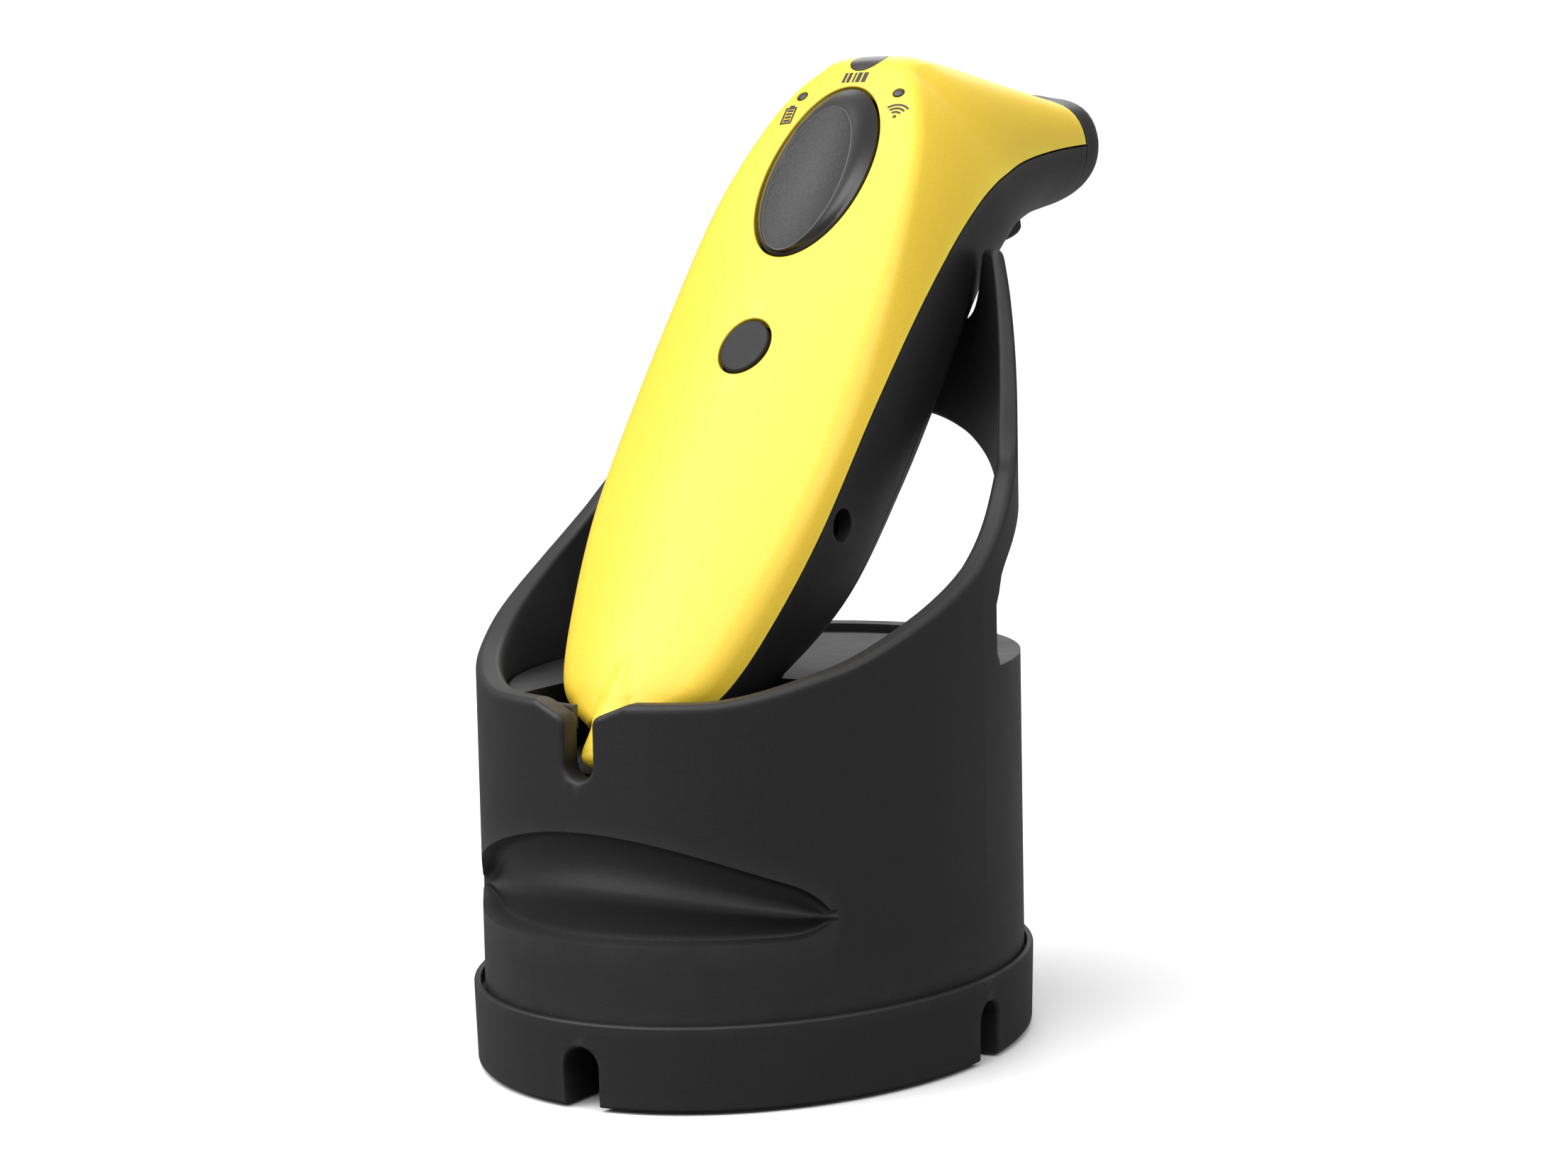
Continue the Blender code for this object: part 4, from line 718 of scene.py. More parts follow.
def housing_solid(tree):
    angles = column_angles()
    radians = [math.radians(a) for a in angles]
    heights = saddle_heights(tree, angles)
    foot = BASE_DECK + GAP
    spans = [grip_span(a) for a in angles]
    rows = []
    for share in (0.0, 0.35, 0.7):
        rows.append([housing_point(t, 0.0, foot + (s[0] - foot) * share)
                     for t, s in zip(radians, spans)])
    steps = [0.0, 0.012, *(0.03 + 0.92 * k / 30 for k in range(30)), 0.95, 0.965, 0.98, 0.99, 1.0]
    for rise in steps:
        part = spline(GRIP_PROFILE, rise)
        rows.append([housing_point(t, s[2] * part, s[0] + (s[1] - s[0]) * rise)
                     for t, s in zip(radians, spans)])
    for share in [k / 10 for k in range(1, 11)]:
        rows.append([housing_point(t, 0.0, s[1] + (SHAFT - s[1]) * share)
                     for t, s in zip(radians, spans)])
    climb = [k / 21 for k in range(1, 21)]
    for share in climb:
        rows.append([housing_point(t, 0.0, SHAFT + share * (h - RIM_ROUND - SHAFT))
                     for t, h in zip(radians, heights)])
    arc = [0.5 * math.pi * k / 5 for k in range(6)]
    for turn in arc:
        inset, drop = RIM_ROUND * (1 - math.cos(turn)), RIM_ROUND * (1 - math.sin(turn))
        rows.append([housing_point(t, min(inset, 0.42 * wall_at(h)), h - drop)
                     for t, h in zip(radians, heights)])
    for turn in arc[::-1]:
        inset, drop = RIM_ROUND * (1 - math.cos(turn)), RIM_ROUND * (1 - math.sin(turn))
        rows.append([housing_point(t, wall_at(h) - min(inset, 0.42 * wall_at(h)), h - drop)
                     for t, h in zip(radians, heights)])
    for share in climb[::-1]:
        row = []
        for t, h in zip(radians, heights):
            z = SHAFT + share * (h - RIM_ROUND - SHAFT)
            row.append(housing_point(t, wall_at(z), z))
        rows.append(row)
    for inset, z in ((HOUSING_WALL, SHAFT), (HOUSING_WALL, FLANGE_TOP), (HOUSING_WALL + FLANGE, FLANGE_TOP),
                     (HOUSING_WALL + FLANGE, foot)):
        rows.append([housing_point(t, inset, z) for t in radians])
    return tube_solid(rows)


def window_solid(edge):
    """Curved slab for the rear window, with rounded edges at both faces of the wall."""
    rings = []
    first = WINDOW_POINTS[0][0]
    steps = 110
    arc = [0.5 * math.pi * k / 4 for k in range(5)]
    for k in range(steps + 1):
        degrees = first + (180 - 2 * first) * k / steps
        top = spline(WINDOW_POINTS, folded(degrees))
        low = WINDOW_SILL + (1.8 * MM if k in (0, steps) else 0.0)
        turn = math.radians(degrees)
        wall = wall_at(top)
        reach = min(edge, 0.45 * wall)
        upper = [(-6 * MM, reach)]
        upper += [(reach * (1 - math.sin(a)) - 0.02 * MM, reach * (1 - math.cos(a))) for a in arc[::-1]]
        upper += [(wall - reach * (1 - math.sin(a)) + 0.02 * MM, reach * (1 - math.cos(a))) for a in arc]
        upper += [(9 * MM, reach)]
        ring = [housing_point(turn, 9 * MM, low), housing_point(turn, -6 * MM, low)]
        ring += [housing_point(turn, inset, max(top + grow, low + 0.3 * MM)) for inset, grow in upper]
        rings.append(ring)
    return loft(rings)


def notch_solid(edge):
    """Notch in the front rim with a flared mouth and rounded edges."""
    dock = bpy.context.scene.scanner_dock
    half_x = dock.half_x - SKIRT_WALL - GAP
    half_y = dock.half_y - SKIRT_WALL - GAP
    half = NOTCH_WIDTH / 2

    def outline(grow):
        wide = half + grow
        points = []
        for k in range(17):
            turn = math.pi + math.pi * k / 16
            points.append((wide * math.cos(turn), NOTCH_BOTTOM + half + wide * math.sin(turn)))
        side = []
        rise = NOTCH_CORNER * math.sin(NOTCH_LIP_TURN) + NOTCH_LIP * math.cos(NOTCH_LIP_TURN)
        centre = (half + NOTCH_CORNER, RIM_FRONT + 0.1 * MM - rise)
        bend = NOTCH_CORNER - grow
        for k in range(9):
            turn = NOTCH_LIP_TURN * k / 8
            side.append((centre[0] - bend * math.cos(turn), centre[1] + bend * math.sin(turn)))
        side.append((side[-1][0] + NOTCH_LIP * math.sin(NOTCH_LIP_TURN),
                     side[-1][1] + NOTCH_LIP * math.cos(NOTCH_LIP_TURN)))
        side.append((side[-1][0], RIM_FRONT + 6 * MM))
        points += side
        points += [(-x, z) for x, z in side[::-1]]
        return points

    def wall(x, inset):
        return -(half_y - inset) * math.sqrt(1 - (x / (half_x - inset)) ** 2)

    rings = [[(x, wall(x, -8 * MM), z) for x, z in outline(edge)]]
    arc = [0.5 * math.pi * k / 4 for k in range(5)]
    for a in arc[::-1]:
        rings.append([(x, wall(x, edge * (1 - math.sin(a)) - 0.02 * MM), z)
                      for x, z in outline(edge * (1 - math.cos(a)))])
    for a in arc:
        rings.append([(x, wall(x, HOUSING_WALL - edge * (1 - math.sin(a)) + 0.02 * MM), z)
                      for x, z in outline(edge * (1 - math.cos(a)))])
    rings.append([(x, wall(x, 9 * MM), z) for x, z in outline(edge)])
    return loft(rings)


def screw_spots():
    dock = bpy.context.scene.scanner_dock
    inset = SKIRT_WALL + GAP + HOUSING_WALL + 0.5 * FLANGE
    return [Vector(((dock.half_x - inset) * math.cos(math.radians(t)),
                    (dock.half_y - inset) * math.sin(math.radians(t)), 0.0)) for t in (48, 132, 228, 312)]


def foot_spots():
    dock = bpy.context.scene.scanner_dock
    return [Vector(((dock.half_x - 9.5 * MM) * math.cos(math.radians(t)),
                    (dock.half_y - 9.5 * MM) * math.sin(math.radians(t)), 0.0)) for t in (24, 156, 204, 336)]


def slot_solid(turn):
    """Cable slot with a round top and an eased mouth."""
    dock = bpy.context.scene.scanner_dock
    rot = Matrix.Rotation(turn, 4, "Z")
    reach = dock.half_x if abs(math.cos(turn)) > 0.5 else dock.half_y
    half = SLOT_WIDTH / 2
    rings = []
    eased = [(reach - deep * MM, wider * MM) for deep, wider in SLOT_MOUTH]
    for out, grow in [(CENTRE_POST + 0.8 * MM, 0.0)] + eased:
        wide = half + grow
        outline = [(wide, -3 * MM), (wide, SLOT_TOP - half)]
        outline += [(wide * math.cos(math.pi * k / 16), SLOT_TOP - half + wide * math.sin(math.pi * k / 16))
                    for k in range(1, 16)]
        outline += [(-wide, SLOT_TOP - half), (-wide, -3 * MM)]
        rings.append([rot @ Vector((out, x, z)) for x, z in outline])
    return loft(rings)


def tub_solid(low, high, inset):
    """Block whose front follows the inside of the wall."""
    dock = bpy.context.scene.scanner_dock
    count = 40
    front = []
    for k in range(count + 1):
        x = low[0] + (high[0] - low[0]) * k / count
        half_x = dock.half_x - SKIRT_WALL - GAP - inset
        half_y = dock.half_y - SKIRT_WALL - GAP - inset
        front.append((x, max(low[1], -half_y * math.sqrt(1 - (x / half_x) ** 2))))
    outline = front + [(high[0], high[1]), (low[0], high[1])]
    return loft([[(x, y, z) for x, y in outline] for z in (low[2], high[2])])


# ------------------------------------------------------------------ shader groups
def new_group(name, inputs, outputs):
    group = bpy.data.node_groups.new(name, "ShaderNodeTree")
    for label, kind, value in inputs:
        socket = group.interface.new_socket(name=label, in_out="INPUT", socket_type=kind)
        socket.default_value = value
    for label, kind in outputs:
        group.interface.new_socket(name=label, in_out="OUTPUT", socket_type=kind)
    start = group.nodes.new("NodeGroupInput")
    end = group.nodes.new("NodeGroupOutput")
    return group, start, end


def add(tree, kind, **values):
    node = tree.nodes.new(kind)
    for key, value in values.items():
        setattr(node, key, value)
    return node


def maths(tree, operation, a, b=None):
    node = add(tree, "ShaderNodeMath", operation=operation)
    for i, value in enumerate((a, b)):
        if value is None:
            continue
        if isinstance(value, (int, float)):
            node.inputs[i].default_value = value
        else:
            tree.links.new(value, node.inputs[i])
    return node.outputs[0]


def noise(tree, scale, detail, vector, rough=0.55):
    node = add(tree, "ShaderNodeTexNoise")
    node.inputs["Detail"].default_value = detail
    node.inputs["Roughness"].default_value = rough
    if isinstance(scale, (int, float)):
        node.inputs["Scale"].default_value = scale
    else:
        tree.links.new(scale, node.inputs["Scale"])
    tree.links.new(vector, node.inputs["Vector"])
    return node.outputs["Fac"]


def grain_group():
    """Fine spark-eroded texture of moulded plastic: a height and a speckle."""
    group, start, end = new_group(
        "moulded_grain", (("Scale", "NodeSocketFloat", 2600.0), ("Pits", "NodeSocketFloat", 0.5)),
        (("Height", "NodeSocketFloat"), ("Speckle", "NodeSocketFloat")))
    place = add(group, "ShaderNodeTexCoord").outputs["Object"]
    fine = noise(group, start.outputs["Scale"], 3.0, place, 0.6)
    cells = add(group, "ShaderNodeTexVoronoi", feature="SMOOTH_F1")
    cells.inputs["Smoothness"].default_value = 0.6
    group.links.new(maths(group, "MULTIPLY", start.outputs["Scale"], 0.8), cells.inputs["Scale"])
    group.links.new(place, cells.inputs["Vector"])
    pits = maths(group, "MULTIPLY", cells.outputs["Distance"], start.outputs["Pits"])
    group.links.new(maths(group, "ADD", fine, pits), end.inputs["Height"])
    group.links.new(fine, end.inputs["Speckle"])
    return group


def handling_group():
    """Slow changes over the surface from handling: soft smudges and faint rubs."""
    group, start, end = new_group(
        "handling", (("Scale", "NodeSocketFloat", 45.0),),
        (("Smudge", "NodeSocketFloat"), ("Rub", "NodeSocketFloat")))
    place = add(group, "ShaderNodeTexCoord").outputs["Object"]
    group.links.new(noise(group, start.outputs["Scale"], 4.0, place), end.inputs["Smudge"])
    stretch = add(group, "ShaderNodeMapping")
    stretch.inputs["Scale"].default_value = (1.0, 0.25, 5.0)
    stretch.inputs["Rotation"].default_value = (0.4, 0.3, 0.5)
    group.links.new(place, stretch.inputs["Vector"])
    rub = noise(group, maths(group, "MULTIPLY", start.outputs["Scale"], 9.0), 2.0, stretch.outputs["Vector"])
    group.links.new(rub, end.inputs["Rub"])
    return group


def edge_group():
    """Where convex edges are worn: 1 on edges, 0 on flats, broken up by a noise."""
    group, start, end = new_group(
        "edge_wear", (("Width", "NodeSocketFloat", 0.06), ("Breakup", "NodeSocketFloat", 320.0)),
        (("Wear", "NodeSocketFloat"),))
    place = add(group, "ShaderNodeTexCoord").outputs["Object"]
    point = add(group, "ShaderNodeNewGeometry").outputs["Pointiness"]
    over = maths(group, "SUBTRACT", point, 0.5)
    wear = maths(group, "DIVIDE", over, start.outputs["Width"])
    broken = maths(group, "MULTIPLY", wear, noise(group, start.outputs["Breakup"], 3.0, place))
    clamp = add(group, "ShaderNodeClamp")
    group.links.new(broken, clamp.inputs["Value"])
    group.links.new(clamp.outputs[0], end.inputs["Wear"])
    return group


def shared(name, make):
    return bpy.data.node_groups.get(name) or make()


def use(tree, group, **values):
    node = add(tree, "ShaderNodeGroup", node_tree=group)
    for key, value in values.items():
        node.inputs[key].default_value = value
    return node


def mix_colour(tree, factor, first, second, blend="MIX"):
    node = add(tree, "ShaderNodeMix", data_type="RGBA", blend_type=blend)
    for key, value in (("Factor", factor), ("A", first), ("B", second)):
        socket = node.inputs[key]
        if isinstance(value, (int, float)):
            socket.default_value = value
        elif isinstance(value, tuple):
            socket.default_value = (*value, 1.0)
        else:
            tree.links.new(value, socket)
    return node.outputs["Result"]


def spread(tree, value, low, high, start=0.3, stop=0.7):
    node = add(tree, "ShaderNodeMapRange")
    tree.links.new(value, node.inputs["Value"])
    for key, number in (("From Min", start), ("From Max", stop), ("To Min", low), ("To Max", high)):
        node.inputs[key].default_value = number
    return node.outputs["Result"]


def tinted(colour, share):
    return tuple(min(max(c * share, 0.0), 1.0) for c in colour)


def moulded(name, colour, rough, grain, bump, speckle=0.12, wear=0.25, metal=0.0, coat=0.0, **sockets):
    """Material of a moulded or plated part: grain, smudges and worn edges over one colour."""
    if name in bpy.data.materials:
        return bpy.data.materials[name]
    mat = bpy.data.materials.new(name)
    mat.use_nodes = True
    tree = mat.node_tree
    shader = tree.nodes["Principled BSDF"]
    texture = use(tree, shared("moulded_grain", grain_group), Scale=grain)
    hands = use(tree, shared("handling", handling_group))
    edges = use(tree, shared("edge_wear", edge_group))
    base = mix_colour(tree, spread(tree, texture.outputs["Speckle"], 0.0, 1.0, 0.35, 0.65),
                      tinted(colour, 1 - speckle), tinted(colour, 1 + speckle))
    base = mix_colour(tree, spread(tree, hands.outputs["Smudge"], 0.0, 0.5), base, tinted(colour, 0.94))
    pale = tuple(c + (min(c * 1.5 + 0.04, 1.0) - c) * wear for c in colour)
    base = mix_colour(tree, edges.outputs["Wear"], base, pale)
    tree.links.new(base, shader.inputs["Base Color"])
    value = spread(tree, hands.outputs["Smudge"], rough - 0.05, rough + 0.05)
    value = maths(tree, "ADD", value, spread(tree, hands.outputs["Rub"], -0.008, 0.012))
    value = maths(tree, "SUBTRACT", value, maths(tree, "MULTIPLY", edges.outputs["Wear"], 0.08))
    tree.links.new(value, shader.inputs["Roughness"])
    relief = add(tree, "ShaderNodeBump")
    relief.inputs["Strength"].default_value = bump
    relief.inputs["Distance"].default_value = 0.05 * MM
    tree.links.new(texture.outputs["Height"], relief.inputs["Height"])
    tree.links.new(relief.outputs["Normal"], shader.inputs["Normal"])
    shader.inputs["Metallic"].default_value = metal
    if coat:
        shader.inputs["Coat Weight"].default_value = coat
        shader.inputs["Coat Roughness"].default_value = 0.25
    for key, number in sockets.items():
        shader.inputs[key.replace("_", " ")].default_value = number
    return mat


def chosen(key):
    """Colour of one of the finish settings."""
    return tuple(getattr(bpy.context.scene.scanner_finish, key))


def yellow_shell():
    return moulded("yellow_shell", chosen("yellow"), 0.46, 3200.0, 0.16, 0.05, 0.35)


def black_shell():
    return moulded("black_shell", chosen("black"), 0.5, 3000.0, 0.3, 0.25, 0.3)


def charcoal_dock():
    return moulded("charcoal_dock", chosen("charcoal"), 0.56, 3400.0, 0.35, 0.2, 0.35, Specular_IOR_Level=0.4)


def button_satin():
    return moulded("button_satin", chosen("button"), 0.3, 3000.0, 0.06, 0.08, 0.25)


def button_grained():
    colour = tinted(chosen("button"), 1.35)
    return moulded("button_grained", colour, 0.6, 3000.0, 0.8, 0.35, 0.2)


def button_flat():
    colour = tinted(chosen("button"), 0.7)
    return moulded("button_flat", colour, 0.62, 3200.0, 0.2, 0.2, 0.2, Specular_IOR_Level=0.35)


def dark_glass():
    return moulded("scan_window_glass", (0.035, 0.006, 0.007), 0.09, 700.0, 0.01, 0.05, 0.1, coat=0.6)


def lamp_lens():
    return moulded("lamp_lens", (0.02, 0.02, 0.017), 0.42, 2500.0, 0.1, 0.3, 0.2, coat=0.08)


def printed_ink():
    return moulded("printed_ink", (0.012, 0.012, 0.010), 0.55, 3000.0, 0.15, 0.3, 0.1)


def gold_plate():
    return moulded("gold_plate", (0.83, 0.60, 0.24), 0.26, 2200.0, 0.08, 0.08, 0.3, metal=1.0)


def bright_metal():
    return moulded("bright_metal", (0.66, 0.65, 0.62), 0.28, 1800.0, 0.1, 0.06, 0.4, metal=1.0)


def cast_steel():
    return moulded("cast_steel", (0.36, 0.36, 0.37), 0.45, 900.0, 0.5, 0.18, 0.5, metal=1.0)


def cell_sleeve():
    return moulded("cell_sleeve", (0.07, 0.17, 0.36), 0.3, 500.0, 0.1, 0.08, 0.4, coat=0.3)


def soft_rubber():
    return moulded("soft_rubber", (0.014, 0.014, 0.014), 0.82, 1600.0, 0.6, 0.25, 0.3)


def circuit_board():
    """Solder mask with a run of copper tracks showing through."""
    if "circuit_board_mask" in bpy.data.materials:
        return bpy.data.materials["circuit_board_mask"]
    mat = moulded("circuit_board_mask", (0.012, 0.11, 0.045), 0.36, 1500.0, 0.1, 0.1, 0.3, coat=0.4)
    tree = mat.node_tree
    shader = tree.nodes["Principled BSDF"]
    place = add(tree, "ShaderNodeTexCoord").outputs["Object"]
    tracks = add(tree, "ShaderNodeTexBrick")
    for key, number in (("Scale", 260.0), ("Mortar Size", 0.06), ("Brick Width", 2.2), ("Row Height", 0.3)):
        tracks.inputs[key].default_value = number
    tree.links.new(place, tracks.inputs["Vector"])
    old = shader.inputs["Base Color"].links[0].from_socket
    faint = maths(tree, "MULTIPLY", tracks.outputs["Fac"], 0.55)
    tree.links.new(mix_colour(tree, faint, old, (0.05, 0.26, 0.09)), shader.inputs["Base Color"])
    return mat


# ------------------------------------------------------------------ operators
class BuildTopShell(bpy.types.Operator):
    """Upper shell with its button holes, lamp holes and tail finger"""
    bl_idname = "scanner.build_top_shell"
    bl_label = "Upper shell"

    def execute(self, context):
        flare = context.scene.scanner_body.hole_round
        tree = scanner_tree()
        shell = add_piece("upper_shell", *shell_solid("top"))
        cut(shell, [hook_solid()], "UNION")
        holes = [flared_hole(tree, face_place(TRIGGER_ALONG, TRIGGER_PLACE), TRIGGER_HALF[0] + HOLE_GAP,
                             TRIGGER_HALF[1] + HOLE_GAP, flare, 96),
                 flared_hole(tree, face_place(0.0, POWER_PLACE), POWER_HALF[0] + HOLE_GAP,
                             POWER_HALF[1] + HOLE_GAP, flare, 64)]
        for side in (-1, 1):
            place = SCANNER @ Matrix.Translation((side * LED_X, LED_ALONG, 0.0))
            holes.append(flared_hole(tree, place, LED_RADIUS + LENS_GAP, LED_RADIUS + LENS_GAP,
                                     LENS_EDGE, 28, -6 * MM))
        place = face_place(READ_LENS_ALONG, READ_LENS_PLACE, READ_LENS_TILT)
        holes.append(flared_hole(tree, place, READ_LENS_HALF[0] + LENS_GAP, READ_LENS_HALF[1] + LENS_GAP,
                                 LENS_EDGE, 48, -7 * MM))
        cut(shell, holes)
        finish_piece(shell, "scanner", [yellow_shell()], ["top_shell"])
        return {"FINISHED"}


class BuildLowerShell(bpy.types.Operator):
    """Lower shell and battery cover"""
    bl_idname = "scanner.build_lower_shell"
    bl_label = "Lower shell"

    def execute(self, context):
        shell = add_piece("lower_case", *shell_solid("low"))
        for side in (-1, 1):
            cut(shell, [upright(side, HEAD_SEAT - 0.7 * MM, BOSS_MEET - GAP / 2, LOW_BOSS_RADIUS)], "UNION")
        for side in (-1, 1):
            cut(shell, [upright(side, -40 * MM, BOSS_MEET + 2 * MM, SCREW_RADIUS + HOLE_GAP)])
            cut(shell, [upright(side, -40 * MM, HEAD_SEAT, SCREW_HEAD + HOLE_GAP, 36)])
        jack = (SCANNER @ Matrix.Translation((0.0, JACK[0], JACK[1])) @ Matrix.Rotation(math.pi / 2, 4, "Y"))
        cut(shell, [pad_solid(-1, PAD_RADIUS + GAP), pad_solid(1, PAD_RADIUS + GAP), cover_solid(GAP),
                    prism(JACK[2], JACK[2], 8 * MM, 30 * MM, jack, 40)])
        finish_piece(shell, "scanner", [black_shell()], ["lower_shell"])
        cover = add_piece("battery_door", *shell_solid("low"))
        cut(cover, [cover_solid(0.0)], "INTERSECT")
        finish_piece(cover, "scanner", [black_shell()], ["battery_cover"])
        return {"FINISHED"}


class BuildNose(bpy.types.Operator):
    """Nose bezel with the recessed scan window, and the small rest under the head"""
    bl_idname = "scanner.build_nose"
    bl_label = "Nose"

    def execute(self, context):
        size = NOSE_LENGTH
        outer = ((1.0, 0.04), (1.0, 0.2), (0.995, 0.36), (0.985, 0.52), (0.968, 0.67), (0.945, 0.8),
                 (0.92, 0.9), (0.9, 0.96), (0.885, 0.99), (0.87, 1.0))
        rings = [nose_ring(share, ahead * size, 0.0) for share, ahead in outer]
        inner = ((0.93, 0.995, 0.85), (0.92, 0.97, 1.0), (0.92, 0.8, 1.0), (0.93, 0.5, 1.0), (1.0, 0.04, 1.0))
        rings += [nose_ring(share, ahead * size, wall * NOSE_WALL) for share, ahead, wall in inner]
        bezel = add_piece("nose_frame", *tube_solid(rings))
        finish_piece(bezel, "scanner", [black_shell()], ["nose_bezel"])
        pane = [nose_ring(share, PANE_DEPTH * size + ahead * MM, NOSE_WALL)
                for share, ahead in ((0.86, 0.0), (0.86, 1.0), (0.852, 1.15), (0.835, 1.2))]
        window = add_piece("scan_pane", *loft(pane))
        finish_piece(window, "scanner", [dark_glass()], ["scan_window"])
        rest = add_piece("head_rest", *rest_solid(scanner_tree()))
        finish_piece(rest, "scanner", [soft_rubber()], ["head_foot"])
        return {"FINISHED"}


class BuildButtons(bpy.types.Operator):
    """Dished trigger and flat power button"""
    bl_idname = "scanner.build_buttons"
    bl_label = "Buttons"

    def execute(self, context):
        tree = scanner_tree()
        place = face_place(TRIGGER_ALONG, TRIGGER_PLACE)
        hx, hy = TRIGGER_HALF
        dx, dy = hx - TRIGGER_RIM[0], hy - TRIGGER_RIM[1]
        n = 96
        lift = TRIGGER_LIFT
        rings = [oval(hx - 1.0 * MM, hy - 1.0 * MM, n, TRIGGER_UNDER, place),
                 oval(hx, hy, n, TRIGGER_UNDER + 0.9 * MM, place)]
        for inset, up in ((0.0, -0.30), (0.03, -0.16), (0.12, -0.05), (0.27, 0.02)):
            rings.append(draped_ring(tree, place, hx - inset * MM, hy - inset * MM, up * MM, n))
        first = rings[-1]
        crest = oval(dx + CREST_EASE, dy + CREST_EASE, n, lift - 0.06 * MM, place, (0.0, -TRIGGER_BACK))
        out = (place.to_3x3() @ Vector((0, 0, 1))).normalized()
        for k in range(1, 8):
            u = k / 8
            swell = out * (CREST_EASE * math.sin(math.pi * u))
            rings.append([a.lerp(b, u) + swell for a, b in zip(first, crest)])
        rings.append(crest)
        bevel_rows = len(rings) + 1
        for grow, up in ((0.07, -0.015), (0.0, -0.012), (-0.07, -0.04)):
            rings.append(oval(dx + grow * MM, dy + grow * MM, n, lift + up * MM, place, (0.0, -TRIGGER_BACK)))
        for share in (0.96, 0.92, 0.86, 0.79, 0.71, 0.62, 0.52, 0.42, 0.31, 0.2, 0.09):
            sink = lift - 0.04 * MM - (TRIGGER_DISH - 0.04 * MM) * (1 - share * share)
            rings.append(oval(dx * share, dy * share, n, sink, place, (0.0, -TRIGGER_BACK)))
        trigger = add_piece("trigger_key", *loft(rings))
        trigger.data.materials.append(button_satin())
        trigger.data.materials.append(button_grained())
        for polygon in trigger.data.polygons:
            if min(polygon.vertices) >= bevel_rows * n:
                polygon.material_index = 1
        finish_piece(trigger, "trigger", [], ["trigger_button"], 28.0)

        place = face_place(0.0, POWER_PLACE)
        px, py = POWER_HALF
        rings = [oval(px, py, 64, POWER_UNDER, place)]
        for inset, up in ((0.0, -0.22), (0.04, -0.06), (0.14, 0.05), (0.28, 0.10), (0.6, 0.125)):
            rings.append(oval(px - inset * MM, py - inset * MM, 64, up * MM, place))
        for share in (0.7, 0.5, 0.3, 0.1):
            rings.append(oval(px * share, py * share, 64, (0.12 + 0.015 * (1 - share)) * MM, place))
        power = add_piece("power_key_cap", *loft(rings))
        finish_piece(power, "power_key", [button_flat()], ["power_button"])
        return {"FINISHED"}


class BuildLamps(bpy.types.Operator):
    """Status lamps and the half oval read lamp on the crest"""
    bl_idname = "scanner.build_lamps"
    bl_label = "Lamps"

    def execute(self, context):
        tree = scanner_tree()
        r = LED_RADIUS
        for side, name, node in ((-1, "lamp_battery", "battery_led_lens"), (1, "lamp_link", "link_led_lens")):
            place = SCANNER @ Matrix.Translation((side * LED_X, LED_ALONG, 0.0))
            rings = [oval(r, r, 28, -2.2 * MM, place)]
            for share, up in ((1.0, -0.16), (0.97, -0.04), (0.88, 0.03), (0.7, 0.08), (0.45, 0.12),
                              (0.2, 0.14)):
                rings.append(draped_ring(tree, place, r * share, r * share, up * MM, 28))
            lamp = add_piece(name, *loft(rings))
            finish_piece(lamp, "scanner", [lamp_lens()], [node])
        lens = add_piece("read_lamp", *shell_solid("top"))
        place = face_place(READ_LENS_ALONG, READ_LENS_PLACE, READ_LENS_TILT)
        cut(lens, [prism(READ_LENS_HALF[0], READ_LENS_HALF[1], -7 * MM, 5 * MM, place, 48)], "INTERSECT")
        finish_piece(lens, "scanner", [lamp_lens()], ["read_indicator_lens"])
        return {"FINISHED"}


def glyph_bar(tree, corners, steps=6):
    """Thin raised patch on the face between four (x, along) corners, in mm."""
    a, b, c, d = (Vector(p) for p in corners)
    place = SCANNER
    out = UP
    top, low = [], []
    for i in range(steps + 1):
        left, right = a.lerp(d, i / steps), b.lerp(c, i / steps)
        row_top, row_low = [], []
        for j in range(3):
            p = left.lerp(right, j / 2) * MM
            start = place @ Vector((p.x, p.y, 0.02))
            hit = tree.ray_cast(start, -out)[0]
            row_top.append(hit + out * 0.07 * MM)
            row_low.append(hit - out * 0.06 * MM)
        top.append(row_top)
        low.append(row_low)
    return sheet_solid(top, low)


def rectangle(cx, cy, half_x, half_y):
    return ((cx - half_x, cy - half_y), (cx + half_x, cy - half_y),
            (cx + half_x, cy + half_y), (cx - half_x, cy + half_y))


